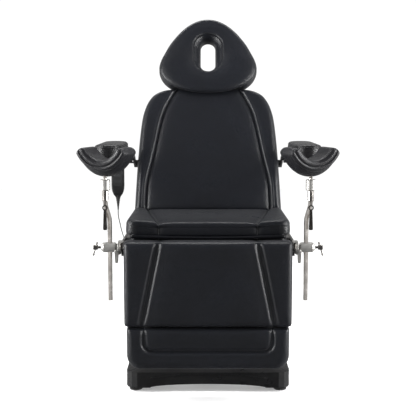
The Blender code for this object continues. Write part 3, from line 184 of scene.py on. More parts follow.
def add_plate(name, middle, half, corner, thick, material):
    """A thin plate with round corners and a small bevel, facing -Y."""
    rings = []
    for inset, y in ((0.0, thick), (0.0, 0.0), (0.0005, -0.0004), (0.003, -0.0004)):
        ring = []
        for quarter in range(4):
            centre_x = (half[0] - corner) * (1 if quarter in (0, 3) else -1)
            centre_z = (half[1] - corner) * (1 if quarter in (0, 1) else -1)
            for step in range(6):
                angle = math.pi / 2 * (quarter + step / 5)
                size = corner - inset
                ring.append(middle + Vector((centre_x + size * math.cos(angle), y,
                                             centre_z + size * math.sin(angle))))
        rings.append(ring)
    return add_loft(name, rings, material, smooth=False)


# ---- what each piece stands for and rides on
def dress(thing, body):
    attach(thing, body)


def upholster(thing, node, body):
    """A padded piece, subdivided once, in the place of its CAD node."""
    smoother = thing.modifiers.new("smooth", "SUBSURF")
    smoother.levels = smoother.render_levels = 1
    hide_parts(node)
    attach(thing, body)


# ---- materials
def shader(name, **constants):
    """A material with its Principled shader, and the object coordinates that its textures use."""
    material = bpy.data.materials.new(name)
    material.use_nodes = True
    tree = material.node_tree
    principled = tree.nodes["Principled BSDF"]
    for socket, value in constants.items():
        principled.inputs[socket.replace("_", " ")].default_value = value
    where = tree.nodes.new("ShaderNodeTexCoord").outputs["Object"]
    return material, tree, principled, where


def drive(principled, socket, value):
    principled.id_data.links.new(value, principled.inputs[socket])


def stretched(tree, where, scale):
    """Coordinates scaled by a different amount along each axis."""
    node = tree.nodes.new("ShaderNodeMapping")
    tree.links.new(where, node.inputs["Vector"])
    node.inputs["Scale"].default_value = scale
    return node.outputs["Vector"]


def noise(tree, where, scale, detail=3.0, distortion=0.0):
    node = tree.nodes.new("ShaderNodeTexNoise")
    tree.links.new(where, node.inputs["Vector"])
    node.inputs["Scale"].default_value = scale
    node.inputs["Detail"].default_value = detail
    node.inputs["Distortion"].default_value = distortion
    return node.outputs["Fac"]


def cells(tree, where, scale):
    """Distance to the edges of irregular cells."""
    node = tree.nodes.new("ShaderNodeTexVoronoi")
    node.feature = "DISTANCE_TO_EDGE"
    tree.links.new(where, node.inputs["Vector"])
    node.inputs["Scale"].default_value = scale
    return node.outputs["Distance"]


def levels(tree, value, low, high, to_low, to_high):
    """The range low to high mapped to another, and held at its ends."""
    node = tree.nodes.new("ShaderNodeMapRange")
    tree.links.new(value, node.inputs["Value"])
    for socket, number in zip(("From Min", "From Max", "To Min", "To Max"), (low, high, to_low, to_high)):
        node.inputs[socket].default_value = number
    return node.outputs["Result"]


def arithmetic(tree, operation, first, second):
    node = tree.nodes.new("ShaderNodeMath")
    node.operation = operation
    for socket, value in zip(node.inputs, (first, second)):
        if isinstance(value, float):
            socket.default_value = value
        else:
            tree.links.new(value, socket)
    return node.outputs["Value"]


def tint(tree, value, dark, light):
    """A colour between dark and light by a 0 to 1 value."""
    node = tree.nodes.new("ShaderNodeMix")
    node.data_type = "RGBA"
    tree.links.new(value, node.inputs["Factor"])
    node.inputs["A"].default_value = (*dark, 1)
    node.inputs["B"].default_value = (*light, 1)
    return next(s for s in node.outputs if s.type == "RGBA")


def bump(tree, height, strength, distance, under=None):
    node = tree.nodes.new("ShaderNodeBump")
    node.inputs["Strength"].default_value = strength
    node.inputs["Distance"].default_value = distance
    tree.links.new(height, node.inputs["Height"])
    if under is not None:
        tree.links.new(under, node.inputs["Normal"])
    return node.outputs["Normal"]


def edge_wear(tree, low, high):
    """1 on sharp edges and 0 on flat ground."""
    pointiness = tree.nodes.new("ShaderNodeNewGeometry").outputs["Pointiness"]
    return levels(tree, pointiness, low, high, 0.0, 1.0)


def leather_material(name, dark, light, rough, grain):
    """Coated leather: pebbled grain with fine creases, satin, a little shinier where it is stretched."""
    material, tree, principled, where = shader(name, Specular_IOR_Level=0.32, Coat_Weight=0.06,
                                               Coat_Roughness=0.3, Sheen_Weight=0.02, Sheen_Roughness=0.45)
    patches = levels(tree, noise(tree, where, 7.0, 4.0, 0.4), 0.32, 0.68, 0.0, 1.0)
    mottle = levels(tree, noise(tree, where, 90.0, 5.0), 0.3, 0.7, 0.0, 1.0)
    shade = arithmetic(tree, "ADD", arithmetic(tree, "MULTIPLY", patches, 0.6),
                       arithmetic(tree, "MULTIPLY", mottle, 0.4))
    drive(principled, "Base Color", tint(tree, shade, dark, light))
    pebbles = levels(tree, cells(tree, where, grain), 0.0, 0.3, 0.0, 1.0)
    worn = levels(tree, patches, 0.0, 1.0, rough + 0.045, rough - 0.045)
    rougher = arithmetic(tree, "ADD", worn, arithmetic(tree, "MULTIPLY", pebbles, -0.05))
    drive(principled, "Roughness", rougher)
    creases = noise(tree, stretched(tree, where, (1.0, 1.0, 1.6)), 55.0, 6.0, 1.2)
    under = bump(tree, creases, 0.3, 0.0012)
    fine = arithmetic(tree, "ADD", pebbles, arithmetic(tree, "MULTIPLY", noise(tree, where, 1500.0), 0.35))
    drive(principled, "Normal", bump(tree, fine, 0.45, 0.00035, under))
    return material


def plastic_material(name, dark, light, rough, texture_scale, texture_depth):
    """Moulded plastic or paint: a fine spark-eroded texture, faint flow marks and polished edges."""
    material, tree, principled, where = shader(name)
    marks = noise(tree, stretched(tree, where, (1.0, 1.0, 2.5)), 14.0, 4.0, 0.6)
    flow = levels(tree, marks, 0.3, 0.7, 0.0, 1.0)
    drive(principled, "Base Color", tint(tree, flow, dark, light))
    smudge = levels(tree, noise(tree, where, 22.0, 5.0, 0.3), 0.3, 0.7, rough - 0.05, rough + 0.06)
    polished = arithmetic(tree, "MULTIPLY", edge_wear(tree, 0.52, 0.6), -0.1)
    drive(principled, "Roughness", arithmetic(tree, "ADD", smudge, polished))
    grain = noise(tree, where, texture_scale, 2.0)
    drive(principled, "Normal", bump(tree, grain, 0.35, texture_depth))
    return material


def metal_material(name, dark, light, rough, streaks):
    """Bare metal with a drawn or turned finish and handling marks."""
    material, tree, principled, where = shader(name, Metallic=1.0)
    marks = levels(tree, noise(tree, where, 35.0, 5.0, 0.5), 0.35, 0.7, 0.0, 1.0)
    drive(principled, "Base Color", tint(tree, marks, dark, light))
    lines = noise(tree, stretched(tree, where, streaks), 100.0, 3.0)
    streaked = levels(tree, lines, 0.3, 0.7, rough - 0.05, rough + 0.07)
    handled = arithmetic(tree, "MULTIPLY", marks, 0.08)
    drive(principled, "Roughness", arithmetic(tree, "ADD", streaked, handled))
    drive(principled, "Normal", bump(tree, lines, 0.12, 0.0002))
    return material


def cast_material(name):
    """Blasted and plated alloy, lighter where edges are rubbed."""
    material, tree, principled, where = shader(name, Metallic=0.85)
    cloud = levels(tree, noise(tree, where, 40.0, 4.0), 0.3, 0.7, 0.0, 0.7)
    rubbed = arithmetic(tree, "MULTIPLY", edge_wear(tree, 0.51, 0.58), 0.5)
    shade = arithmetic(tree, "ADD", cloud, rubbed)
    colour = tint(tree, shade, (0.28, 0.275, 0.265), (0.5, 0.49, 0.47))
    drive(principled, "Base Color", colour)
    rough = levels(tree, noise(tree, where, 160.0, 3.0), 0.3, 0.7, 0.36, 0.5)
    drive(principled, "Roughness", rough)
    drive(principled, "Normal", bump(tree, noise(tree, where, 1100.0, 2.0), 0.3, 0.0002))
    return material


def thread_material():
    """Twisted thread: fine slanted plies, a little lighter than the leather."""
    material, tree, principled, where = shader("sewing_thread", Roughness=0.62, Sheen_Weight=0.2)
    plies = levels(tree, noise(tree, where, 2600.0, 2.0), 0.35, 0.65, 0.0, 1.0)
    colour = tint(tree, plies, (0.007, 0.007, 0.009), (0.022, 0.023, 0.026))
    drive(principled, "Base Color", colour)
    drive(principled, "Normal", bump(tree, plies, 0.5, 0.0002))
    return material


# name, dark and light colour, roughness, size of the grain
LEATHER, WELT, FOAM, GLOSSY = [leather_material(*row) for row in (
    ("black_leather", (0.0034, 0.0038, 0.0054), (0.0064, 0.0071, 0.0094), 0.34, 560.0),
    ("welt_leather", (0.0055, 0.0058, 0.0068), (0.0095, 0.0099, 0.0112), 0.36, 900.0),
    ("moulded_foam_skin", (0.005, 0.005, 0.0062), (0.0095, 0.0094, 0.0112), 0.32, 800.0),
    ("armrest_skin", (0.005, 0.005, 0.0055), (0.008, 0.008, 0.0088), 0.24, 900.0))]
# name, dark and light colour, roughness, scale and depth of the texture
COVER, CASE, BUTTON, PANEL, RUBBER, PAINT = [plastic_material(*row) for row in (
    ("cover_plastic", (0.005, 0.005, 0.0054), (0.0072, 0.0072, 0.0077), 0.38, 900.0, 0.00012),
    ("case_plastic", (0.004, 0.004, 0.0046), (0.007, 0.007, 0.0078), 0.34, 900.0, 0.0002),
    ("button_plastic", (0.014, 0.0145, 0.016), (0.02, 0.0205, 0.0225), 0.48, 900.0, 0.0002),
    ("panel_plastic", (0.008, 0.0082, 0.009), (0.011, 0.0114, 0.0125), 0.45, 900.0, 0.0002),
    ("black_rubber", (0.01, 0.01, 0.01), (0.019, 0.0188, 0.0185), 0.72, 500.0, 0.0004),
    ("powder_coat", (0.012, 0.012, 0.013), (0.021, 0.021, 0.0225), 0.46, 1300.0, 0.0003))]
# name, dark and light colour, roughness, stretch of the streaks along each axis
STEEL = metal_material("polished_steel", (0.4, 0.375, 0.35), (0.57, 0.54, 0.51), 0.17, (6.0, 6.0, 0.4))
TURNED_STEEL = metal_material("turned_steel", (0.4, 0.38, 0.36), (0.56, 0.54, 0.52), 0.24, (0.5, 6.0, 6.0))
ALLOY = cast_material("cast_alloy")
THREAD = thread_material()


# ---- upholstery
NEAR = (0.0028, 0.007, 0.013, 0.021)  # columns beside a sewn channel, from its edge
RIM = (0.0, 0.002, 0.0055, 0.0105, 0.0175)  # columns and rows beside the outline
COLUMN_STEP = 0.024
BOLSTER_COLUMNS = 5
SEAM_DEEP = 0.0018
VALLEY_ROUND = 0.0012  # rise in the middle of a channel's floor
CROWN_REACH = 0.16  # distance from the channel over which the crown rises
RIDGE_AWAY = 0.0105  # crest of a ridge, from the channel's edge
RIDGE_WIDE = 0.0065
STITCH_PITCH = 0.0075
STITCH_LONG = 0.005
THREAD_RADIUS = 0.00055
THREAD_SIDES = 6


def graded(low, high, step):
    """Even places from low to high, both left out."""
    count = max(1, round((high - low) / step))
    return [low + (high - low) * i / count for i in range(1, count)]


def along_rows(low, high, step, extra=()):
    """Rows from low to high, crowded at both ends and at any extra places."""
    rows = {low + e for e in RIM} | {high - e for e in RIM}
    rows |= set(graded(low + RIM[-1], high - RIM[-1], step))
    for place in extra:
        rows = {r for r in rows if abs(r - place) > NEAR[0]} | {place}
        rows |= {place + n for n in NEAR[:3]} | {place - n for n in NEAR[:3]}
    return sorted(rows)


def across_columns(centre, edge, valley):
    """Half of one row: from the middle, over the channel at centre, to the outline at edge."""
    room = edge - centre
    close = min(1.0, room / (valley + NEAR[-1] + RIM[-1] + 0.002))
    inner = [centre - valley - n for n in reversed(NEAR)] + [centre - valley]
    outer = [centre + valley * close] + [centre + (valley + n) * close for n in NEAR]
    rim = [edge - e * close for e in reversed(RIM)]
    count = round(0.3 / COLUMN_STEP)
    middle = [inner[0] * i / count for i in range(count)]
    bolster = [outer[-1] + (rim[0] - outer[-1]) * i / BOLSTER_COLUMNS for i in range(1, BOLSTER_COLUMNS)]
    return middle + inner + [centre] + outer + bolster + rim


def distance_to(line, points):
    """Distance in the plane from every point to an open line."""
    line = np.asarray(line, float)
    best = np.full(len(points), 1e9)
    for a, b in zip(line, line[1:]):
        d = b - a
        t = np.clip(((points - a) @ d) / max(d @ d, 1e-12), 0, 1)
        best = np.minimum(best, np.linalg.norm(points - (a + t[:, None] * d), axis=1))
    return best


def wall_offsets(bulge):
    """Outward offset and share of the wall's height, from the rolled rim down to the back."""
    return [(-SEAM_DEEP, 0.05), (0.0, 0.1), (bulge * 0.55, 0.25), (bulge, 0.5), (bulge * 0.6, 0.75),
            (0.0, 0.9), (-0.0035, 0.965), (-0.011, 1.0)]


class Pad:
    """A cushion on rows and columns that follow its outline and its sewn channels.

    x runs across, u along and h out of the cushion's flat ground plane; place() turns them
    into a point of the frame. A channel is valley wide to each side, sinks the ground by sink
    and fades over soften; outside it the ground stands lift higher and inside it has a crown.
    """

    def __init__(self, name, place, rows, half_width, channel, thickness, roll,
                 valley=0.0, sink=0.01, soften=0.012, lift=0.0, crown=0.006, bulge=0.003,
                 channel_line=None, wall_channel_rows=(), shape=None, ridges=(0.0, 0.0),
                 wall=None, tuck=0.0):
        self.name = name
        self.place = place
        self.thickness = thickness
        self.valley = valley
        rows_x = [across_columns(channel(u), half_width(u), valley) for u in rows]
        plan = np.array([[(-x, u) for x in reversed(row[1:])] + [(x, u) for x in row]
                         for row, u in zip(rows_x, rows)], float)
        self.plan = plan
        flat = plan.reshape(-1, 2)
        outline = self.boundary(plan)
        loop = np.vstack([outline, outline[:1]])
        edge = distance_to(loop, flat)
        if channel_line is None:
            channel_line = [(channel(u), u) for u in rows]
        self.channel_line = channel_line
        mirrored = [(-x, u) for x, u in channel_line]
        seam = np.minimum(distance_to(channel_line, flat), distance_to(mirrored, flat))
        outside = np.abs(flat[:, 0]) > np.array([channel(u) for u in flat[:, 1]])
        if shape is not None:
            outside = outside | shape(flat)
        away = np.clip(seam - valley, 0, None)
        height = -sink * np.exp(-away / soften)
        height += np.where(seam < valley, VALLEY_ROUND * (1 - (seam / max(valley, 1e-6)) ** 2), 0)
        height += np.where(outside, lift * (1 - np.exp(-away / (soften * 0.6))), 0)
        hump = np.exp(-((away - RIDGE_AWAY) / RIDGE_WIDE) ** 2)
        height += np.where(outside, ridges[0], ridges[1]) * hump
        inner_room = np.clip(seam / CROWN_REACH, 0, 1)
        height += np.where(outside, 0, crown * np.sin(inner_room * math.pi / 2))
        height *= np.clip(edge / roll, 0, 1) ** 0.5
        inside = np.clip(edge, 0, roll)
        height -= roll - np.sqrt(np.maximum(roll ** 2 - (roll - inside) ** 2, 0))
        self.height = height.reshape(plan.shape[:2])
        self.build(outline, wall or wall_offsets(bulge), sink, soften, wall_channel_rows, tuck)

    @staticmethod
    def boundary(grid):
        """The grid's rim in order, once round."""
        return np.vstack([grid[0, :-1], grid[:-1, -1], grid[-1, :0:-1], grid[:0:-1, 0]])

    def build(self, outline, wall, sink, soften, wall_rows, tuck):
        """Points and faces of the front, the wall round it and the back."""
        rows, columns = self.height.shape
        points = [self.place(x, u, h) for (x, u), h in
                  zip(self.plan.reshape(-1, 2), self.height.reshape(-1))]
        faces = []
        for i in range(rows - 1):
            for j in range(columns - 1):
                a = i * columns + j
                faces.append((a, a + 1, a + columns + 1, a + columns))
        index = np.arange(rows * columns).reshape(rows, columns)
        ring = list(self.boundary(index[:, :, None]).reshape(-1))
        rim_height = self.height.reshape(-1)[ring]
        ahead = np.roll(outline, -1, axis=0) - np.roll(outline, 1, axis=0)
        normal = np.column_stack([ahead[:, 1], -ahead[:, 0]])
        normal /= np.maximum(np.linalg.norm(normal, axis=1), 1e-9)[:, None]
        pulled = np.zeros(len(outline))
        for row_u in wall_rows:
            on_row = np.abs(outline[:, 1] - row_u) < 1e-6
            near = np.abs(np.abs(outline[:, 0]) - self.channel_at(row_u))
            away = np.clip(near - self.valley, 0, None)
            pulled += np.where(on_row, sink * 0.8 * np.exp(-away / soften), 0)
        low_row = outline[:, 1] <= outline[:, 1].min() + 1e-6
        last = ring
        for outward, share in wall:
            fresh = []
            for k, (x, u) in enumerate(outline):
                out = outward - pulled[k] * min(1.0, 1.15 - share)
                h = rim_height[k] + (-self.thickness - rim_height[k]) * share
                fresh.append(len(points))
                inward = tuck * low_row[k] * min(1.0, share * 5)
                points.append(self.place(x + normal[k, 0] * out, u + normal[k, 1] * out + inward, h))
            for k in range(len(ring)):
                n = (k + 1) % len(ring)
                faces.append((last[k], last[n], fresh[n], fresh[k]))
            last = fresh
        faces.append(tuple(last))
        self.points = points
        self.faces = faces

    def channel_at(self, u):
        line = np.array(self.channel_line)
        return float(np.interp(u, line[:, 1], line[:, 0]))

    def surface_at(self, x, u):
        """The point of the front at x and u, from the nearest grid points."""
        flat = self.plan.reshape(-1, 2)
        near = np.argsort(((flat - (x, u)) ** 2).sum(1))[:4]
        weight = 1 / (np.linalg.norm(flat[near] - (x, u), axis=1) + 1e-5)
        height = float((self.height.reshape(-1)[near] * weight).sum() / weight.sum())
        return self.place(x, u, height)

    def make(self, node, body):
        upholster(add_mesh(self.name, self.points, self.faces, LEATHER), node, body)


def stitches(name, lines, body):
    """A row of short thread loops along each line, as one piece."""
    points = []
    faces = []
    for line in lines:
        places = smooth_line(line, STITCH_PITCH)
        for a, b in zip(places, places[1:]):
            along = (b - a).normalized()
            middle = (a + b) / 2
            path = [middle + along * STITCH_LONG * t for t in (-0.5, -0.3, 0.0, 0.3, 0.5)]
            radii = [THREAD_RADIUS * r for r in (0.45, 1.0, 1.0, 1.0, 0.45)]
            start = len(points)
            points += [p for ring in tube_rings(path, radii, THREAD_SIDES) for p in ring]
            faces += [tuple(i + start for i in face) for face in loft_faces(len(path), THREAD_SIDES)]
    dress(add_mesh(name, points, faces, THREAD), body)


# ---- back
BACK_SIDE = [(0.32, -0.012), (0.311, 0.237), (0.299, 0.408), (0.284, 0.482), (0.262, 0.53),
             (0.232, 0.557), (0.195, 0.572), (0.14, 0.579)]
BACK_CHANNEL = [(0.27, -0.012), (0.2655, 0.119), (0.238, 0.255), (0.212, 0.394), (0.194, 0.465),
                (0.16, 0.537), (0.136, 0.579)]
BACK_THICK = 0.09
BACK_TUCK = 0.021  # the wall's lower end stays clear of the seat frame when the back lies down
# Rows that follow the round top edge.
BACK_TOP_ROWS = [0.545, 0.552, 0.559, 0.565, 0.5695, 0.573, 0.5755, 0.5772, 0.5784]


def curve_through(pairs):
    """Half-width as a smooth function of the place along the pad."""
    line = smooth_line([(x, u, 0) for x, u in pairs], 0.004)
    across = np.array([p.x for p in line])
    along = np.array([p.y for p in line])
    return lambda u: float(np.interp(u, along, across))


def add_back():
    outline = curve_through(BACK_SIDE)
    channel = curve_through(BACK_CHANNEL)
    low, high = BACK_SIDE[0][1], BACK_SIDE[-1][1]
    rows = along_rows(low, high, 0.022)
    rows = [r for r in rows if r < BACK_TOP_ROWS[0]] + BACK_TOP_ROWS + [high]
    pad = Pad("back_pad", on_back, rows, outline, channel, BACK_THICK, 0.022,
              sink=0.01, soften=0.01, lift=0.006, crown=0.005, wall_channel_rows=(low,),
              ridges=(0.0065, 0.0), tuck=BACK_TUCK)
    pad.make("back_cushion", "back")
    lines = []
    for side in (-1, 1):
        lines.append([pad.surface_at(side * (channel(u) - 0.0055), u) + BACK_OUT * 0.0012
                      for u in np.linspace(low + 0.024, high - 0.03, 22)])
    stitches("back_stitching", lines, "back")


# ---- seat
SEAT_CHANNEL_FRONT = 0.19
SEAT_CHANNEL_REAR = 0.263
SEAT_CORNER = 0.045
# Outward offset and share of the height: the lower part steps in behind the front lip.
SEAT_WALL = [(-0.0018, 0.05), (0.0, 0.1), (0.0005, 0.25), (0.0006, 0.4), (-0.001, 0.465),
             (-0.005, 0.495), (-0.012, 0.515), (-0.0135, 0.6), (-0.0135, 0.9), (-0.015, 0.97),
             (-0.02, 1.0)]


def corner_width(half, radius, low, high, low_radius=None):
    """Half-width of a rectangle with round corners, along its length."""
    low_radius = radius if low_radius is None else low_radius

    def width(u):
        for gap, size in ((u - low, low_radius), (high - u, radius)):
            if gap < size:
                return half - size + math.sqrt(max(0.0, size ** 2 - (size - gap) ** 2))
        return half
    return width


def on_seat(x, along, out):
    outward = min(1.0, abs(x) / seat_high.x)
    rise = 0.006 * outward ** 3
    return Vector((x, FRONT_Y + along, seat_high.z - 0.004 + rise + out))


def add_seat():
    half = seat_high.x
    depth = seat_high.y - seat_low.y
    low, high = 0.001, depth - 0.001

    def channel(u):
        return SEAT_CHANNEL_FRONT + (SEAT_CHANNEL_REAR - SEAT_CHANNEL_FRONT) * u / depth

    rows = along_rows(low, high, 0.024) + [SEAT_CORNER * 0.55, SEAT_CORNER * 0.78]
    rows.sort()
    outline = corner_width(half - 0.001, 0.01, low, high, low_radius=SEAT_CORNER)
    pad = Pad("seat_pad", on_seat, rows, outline, channel,
              seat_high.z - seat_low.z - 0.005, 0.014, sink=0.009, soften=0.012, lift=0.006, crown=0.003,
              wall=SEAT_WALL, wall_channel_rows=(low,), ridges=(0.003, 0.0012))
    pad.make("seat_cushion", "seat")
    lines = [[pad.surface_at(side * (channel(u) - 0.005), u) + Vector((0, 0, 0.0012))
              for u in np.linspace(0.016, high - 0.02, 16)] for side in (-1, 1)]
    stitches("seat_stitching", lines, "seat")


# ---- leg rest
LEG_CHANNEL_TOP = 0.189
LEG_CHANNEL_LOW = 0.255
LEG_VALLEY = 0.006


def hung(low, high):
    """The front plane of a cushion that hangs down, with u from its top edge."""
    return lambda x, along, out: Vector((x, low.y - out + 0.001, high.z - along))


def add_leg():
    half = leg_high.x
    length = leg_high.z - leg_low.z

    def channel(u):
        return LEG_CHANNEL_TOP + (LEG_CHANNEL_LOW - LEG_CHANNEL_TOP) * u / length

    rows = along_rows(0.0, length, 0.022)
    pad = Pad("leg_pad", hung(leg_low, leg_high), rows, corner_width(half, 0.012, 0.0, length), channel,
              leg_high.y - leg_low.y - 0.001, 0.024, valley=LEG_VALLEY, sink=0.014, soften=0.015,
              lift=0.001, crown=0.003, bulge=0.0008, wall_channel_rows=(0.0, length),
              ridges=(0.004, 0.004))
    pad.make("leg_cushion", "leg")
    lines = []
    for side in (-1, 1):
        for shift in (-LEG_VALLEY, LEG_VALLEY):
            lines.append([pad.surface_at(side * (channel(u) + shift * 0.6), u) + Vector((0, -0.0008, 0))
                          for u in np.linspace(0.022, length - 0.022, 14)])
    stitches("leg_stitching", lines, "leg")


# ---- extension
EXTENSION_CHANNEL = 0.245  # half-width of the sewn U
EXTENSION_BOTTOM = 0.215  # height of the U's lower run
EXTENSION_BEND = 0.034
EXTENSION_CORNER = 0.055


def round_rows(end, radius, degrees):
    """Rows round a corner that ends at a place."""
    return [end - radius * (1 - math.sin(math.radians(a))) for a in degrees]


def add_extension():
    half = extension_high.x
    length = extension_high.z - extension_low.z
    turn = extension_high.z - EXTENSION_BOTTOM

    def channel(u):
        gap = turn - u
        if gap >= EXTENSION_BEND:
            return EXTENSION_CHANNEL
        if gap <= 0:
            return EXTENSION_CHANNEL - EXTENSION_BEND
        return (EXTENSION_CHANNEL - EXTENSION_BEND
                + math.sqrt(EXTENSION_BEND ** 2 - (EXTENSION_BEND - gap) ** 2))

    rows = along_rows(0.0, length, 0.016, extra=(turn,))
    bend_rows = round_rows(turn, EXTENSION_BEND, (10, 25, 40, 55))
    corner_rows = round_rows(length, EXTENSION_CORNER, (15, 30, 45, 58, 70))
    rows = sorted(set(rows) | set(bend_rows) | set(corner_rows))
    rows = [r for i, r in enumerate(rows) if i == 0 or r - rows[i - 1] > 0.0012 or r in (turn, length)]
    outline = corner_width(half, EXTENSION_CORNER, 0.0, length, low_radius=0.012)
    side_line = [(channel(u), u) for u in np.linspace(0.0, turn, 40)]
    line = side_line + [(0.0, turn)]
    pad = Pad("extension_pad", hung(extension_low, extension_high), rows, outline, channel,
              extension_high.y - extension_low.y - 0.001, 0.026,
              valley=0.0015, sink=0.013, soften=0.014, lift=0.002, crown=0.003, bulge=0.002,
              channel_line=line, wall_channel_rows=(0.0,), shape=lambda flat: flat[:, 1] > turn,
              ridges=(0.0045, 0.003))
    pad.make("extension_cushion", "extension")
    u_shape = side_line[4:]
    u_shape += [(x, turn) for x in np.linspace(EXTENSION_CHANNEL - EXTENSION_BEND, 0.0, 8)[1:]]
    whole = [(-x, u) for x, u in u_shape] + [(x, u) for x, u in reversed(u_shape[:-1])]
    line = [pad.surface_at(x * 0.985, u - 0.004) + Vector((0, -0.001, 0)) for x, u in whole]
    stitches("extension_stitching", [line], "extension")


add_back()
add_seat()
add_leg()
add_extension()
# ---- finishes of the pieces kept from the CAD
def paint(material, *nodes):
    for node in nodes:
        for each in frame["nodes"][node].material_slots:
            each.material = material


def both(*stems):
    return [stem + "_" + side for stem in stems for side, _ in SIDES]


def paint_frame():
    paint(COVER, "base_cover", "head_plate")
    paint(PAINT, "base_frame", "lift_arm_lower", "lift_arm_upper", "carriage", "seat_frame", "back_frame",
          "leg_frame", "extension_frame", *both("armrest_arm"))
    paint(CASE, "mains_inlet", "lift_actuator_body", "back_actuator_body", "leg_actuator_body",
          "control_box", "handset")
    paint(BUTTON, "rocker_height", "rocker_back", "rocker_leg")
    paint(RUBBER, "cord_gland", *both("foot_front", "foot_rear"))
    paint(STEEL, "lift_actuator_rod", "back_actuator_rod", "leg_actuator_rod", "head_slider",
          *both("side_rail", "stirrup_post", "ring_lever", "crutch_bracket"))
    paint(TURNED_STEEL, *both("clamp_screw", "tommy_bar"))
    paint(ALLOY, *both("rail_clamp", "lock_lever", "collar"))
    paint(FOAM, *both("crutch_pad"))


paint_frame()


# ---- pillow
# Half-width and place along the pillow, as shares of its own width and length, from bottom to top.
EGG = [(0.0, 0.0), (0.2, 0.004), (0.38, 0.019), (0.54, 0.048), (0.73, 0.1), (0.875, 0.165),
       (0.967, 0.24), (1.0, 0.325), (0.962, 0.431), (0.884, 0.532), (0.798, 0.634), (0.684, 0.736),
       (0.545, 0.837), (0.39, 0.919), (0.241, 0.97), (0.12, 0.993), (0.0, 1.0)]
PILLOW_HALF = 0.22
PILLOW_START = 0.545
PILLOW_LENGTH = 0.368
PILLOW_THICK = 0.08
PILLOW_PROUD = 0.035  # the face, out from the back's plane
PILLOW_ROLL = 0.013  # radius of the rolled outer edge
PILLOW_CROWN = 0.01
HOLE_ALONG = 0.742
HOLE_RIM = (0.069, 0.1)  # half-width and half-height of the rolled rim
HOLE_SLOT = (0.0335, 0.076)  # the same, of the slot behind it
HOLE_ROLL = 0.011
PILLOW_SPOKES = 112
WELT_SIDES = 8
PILLOW_CLEAR = 0.5825  # the pillow's body stays above the back's end
PILLOW_FREE = 0.014  # but its face may hang in front of it


def loop_from(points, count):
    """Even points round a closed smooth curve, as an array, starting at the first point."""
    closed = [Vector((x, u, 0)) for x, u in points]
    line = smooth_line([closed[-1]] + closed + [closed[0], closed[1]], 0.002)
    start = min(range(len(line) // 3), key=lambda i: (line[i] - closed[0]).length)
    stop = max(range(len(line) // 2, len(line)), key=lambda i: -(line[i] - closed[0]).length)
    line = line[start:stop + 1]
    lengths = np.cumsum([0.0] + [(q - p).length for p, q in zip(line, line[1:])])
    wanted = np.linspace(0, lengths[-1], count, endpoint=False)
    return np.column_stack([np.interp(wanted, lengths, [p[i] for p in line]) for i in (0, 1)])


def long_hole(half_width, half_height, angles):
    """A slot with round ends, met by rays from its middle."""
    points = []
    for angle in angles:
        c, s = math.cos(angle), math.sin(angle)
        straight = half_height - half_width
        reach = half_width / max(abs(c), 1e-9)
        if abs(reach * s) > straight:
            b = abs(s) * straight
            reach = b + math.sqrt(max(0.0, b * b - straight ** 2 + half_width ** 2))
        points.append((reach * c, HOLE_ALONG + reach * s))
    return np.array(points)


def egg_loop():
    right = [(PILLOW_HALF * x, PILLOW_START + PILLOW_LENGTH * u) for x, u in EGG]
    left = [(-x, u) for x, u in reversed(right[1:-1])]
    return loop_from(right + left, PILLOW_SPOKES * 4)


def on_rays(loop, angles):
    """The loop's points that lie on rays from the hole's middle."""
    bearing = np.unwrap(np.arctan2(loop[:, 1] - HOLE_ALONG, loop[:, 0]))
    reach = np.hypot(loop[:, 0], loop[:, 1] - HOLE_ALONG)
    order = np.argsort(bearing % math.tau)
    sizes = np.interp(angles, (bearing % math.tau)[order], reach[order], period=math.tau)
    return np.column_stack([sizes * np.cos(angles), HOLE_ALONG + sizes * np.sin(angles)])


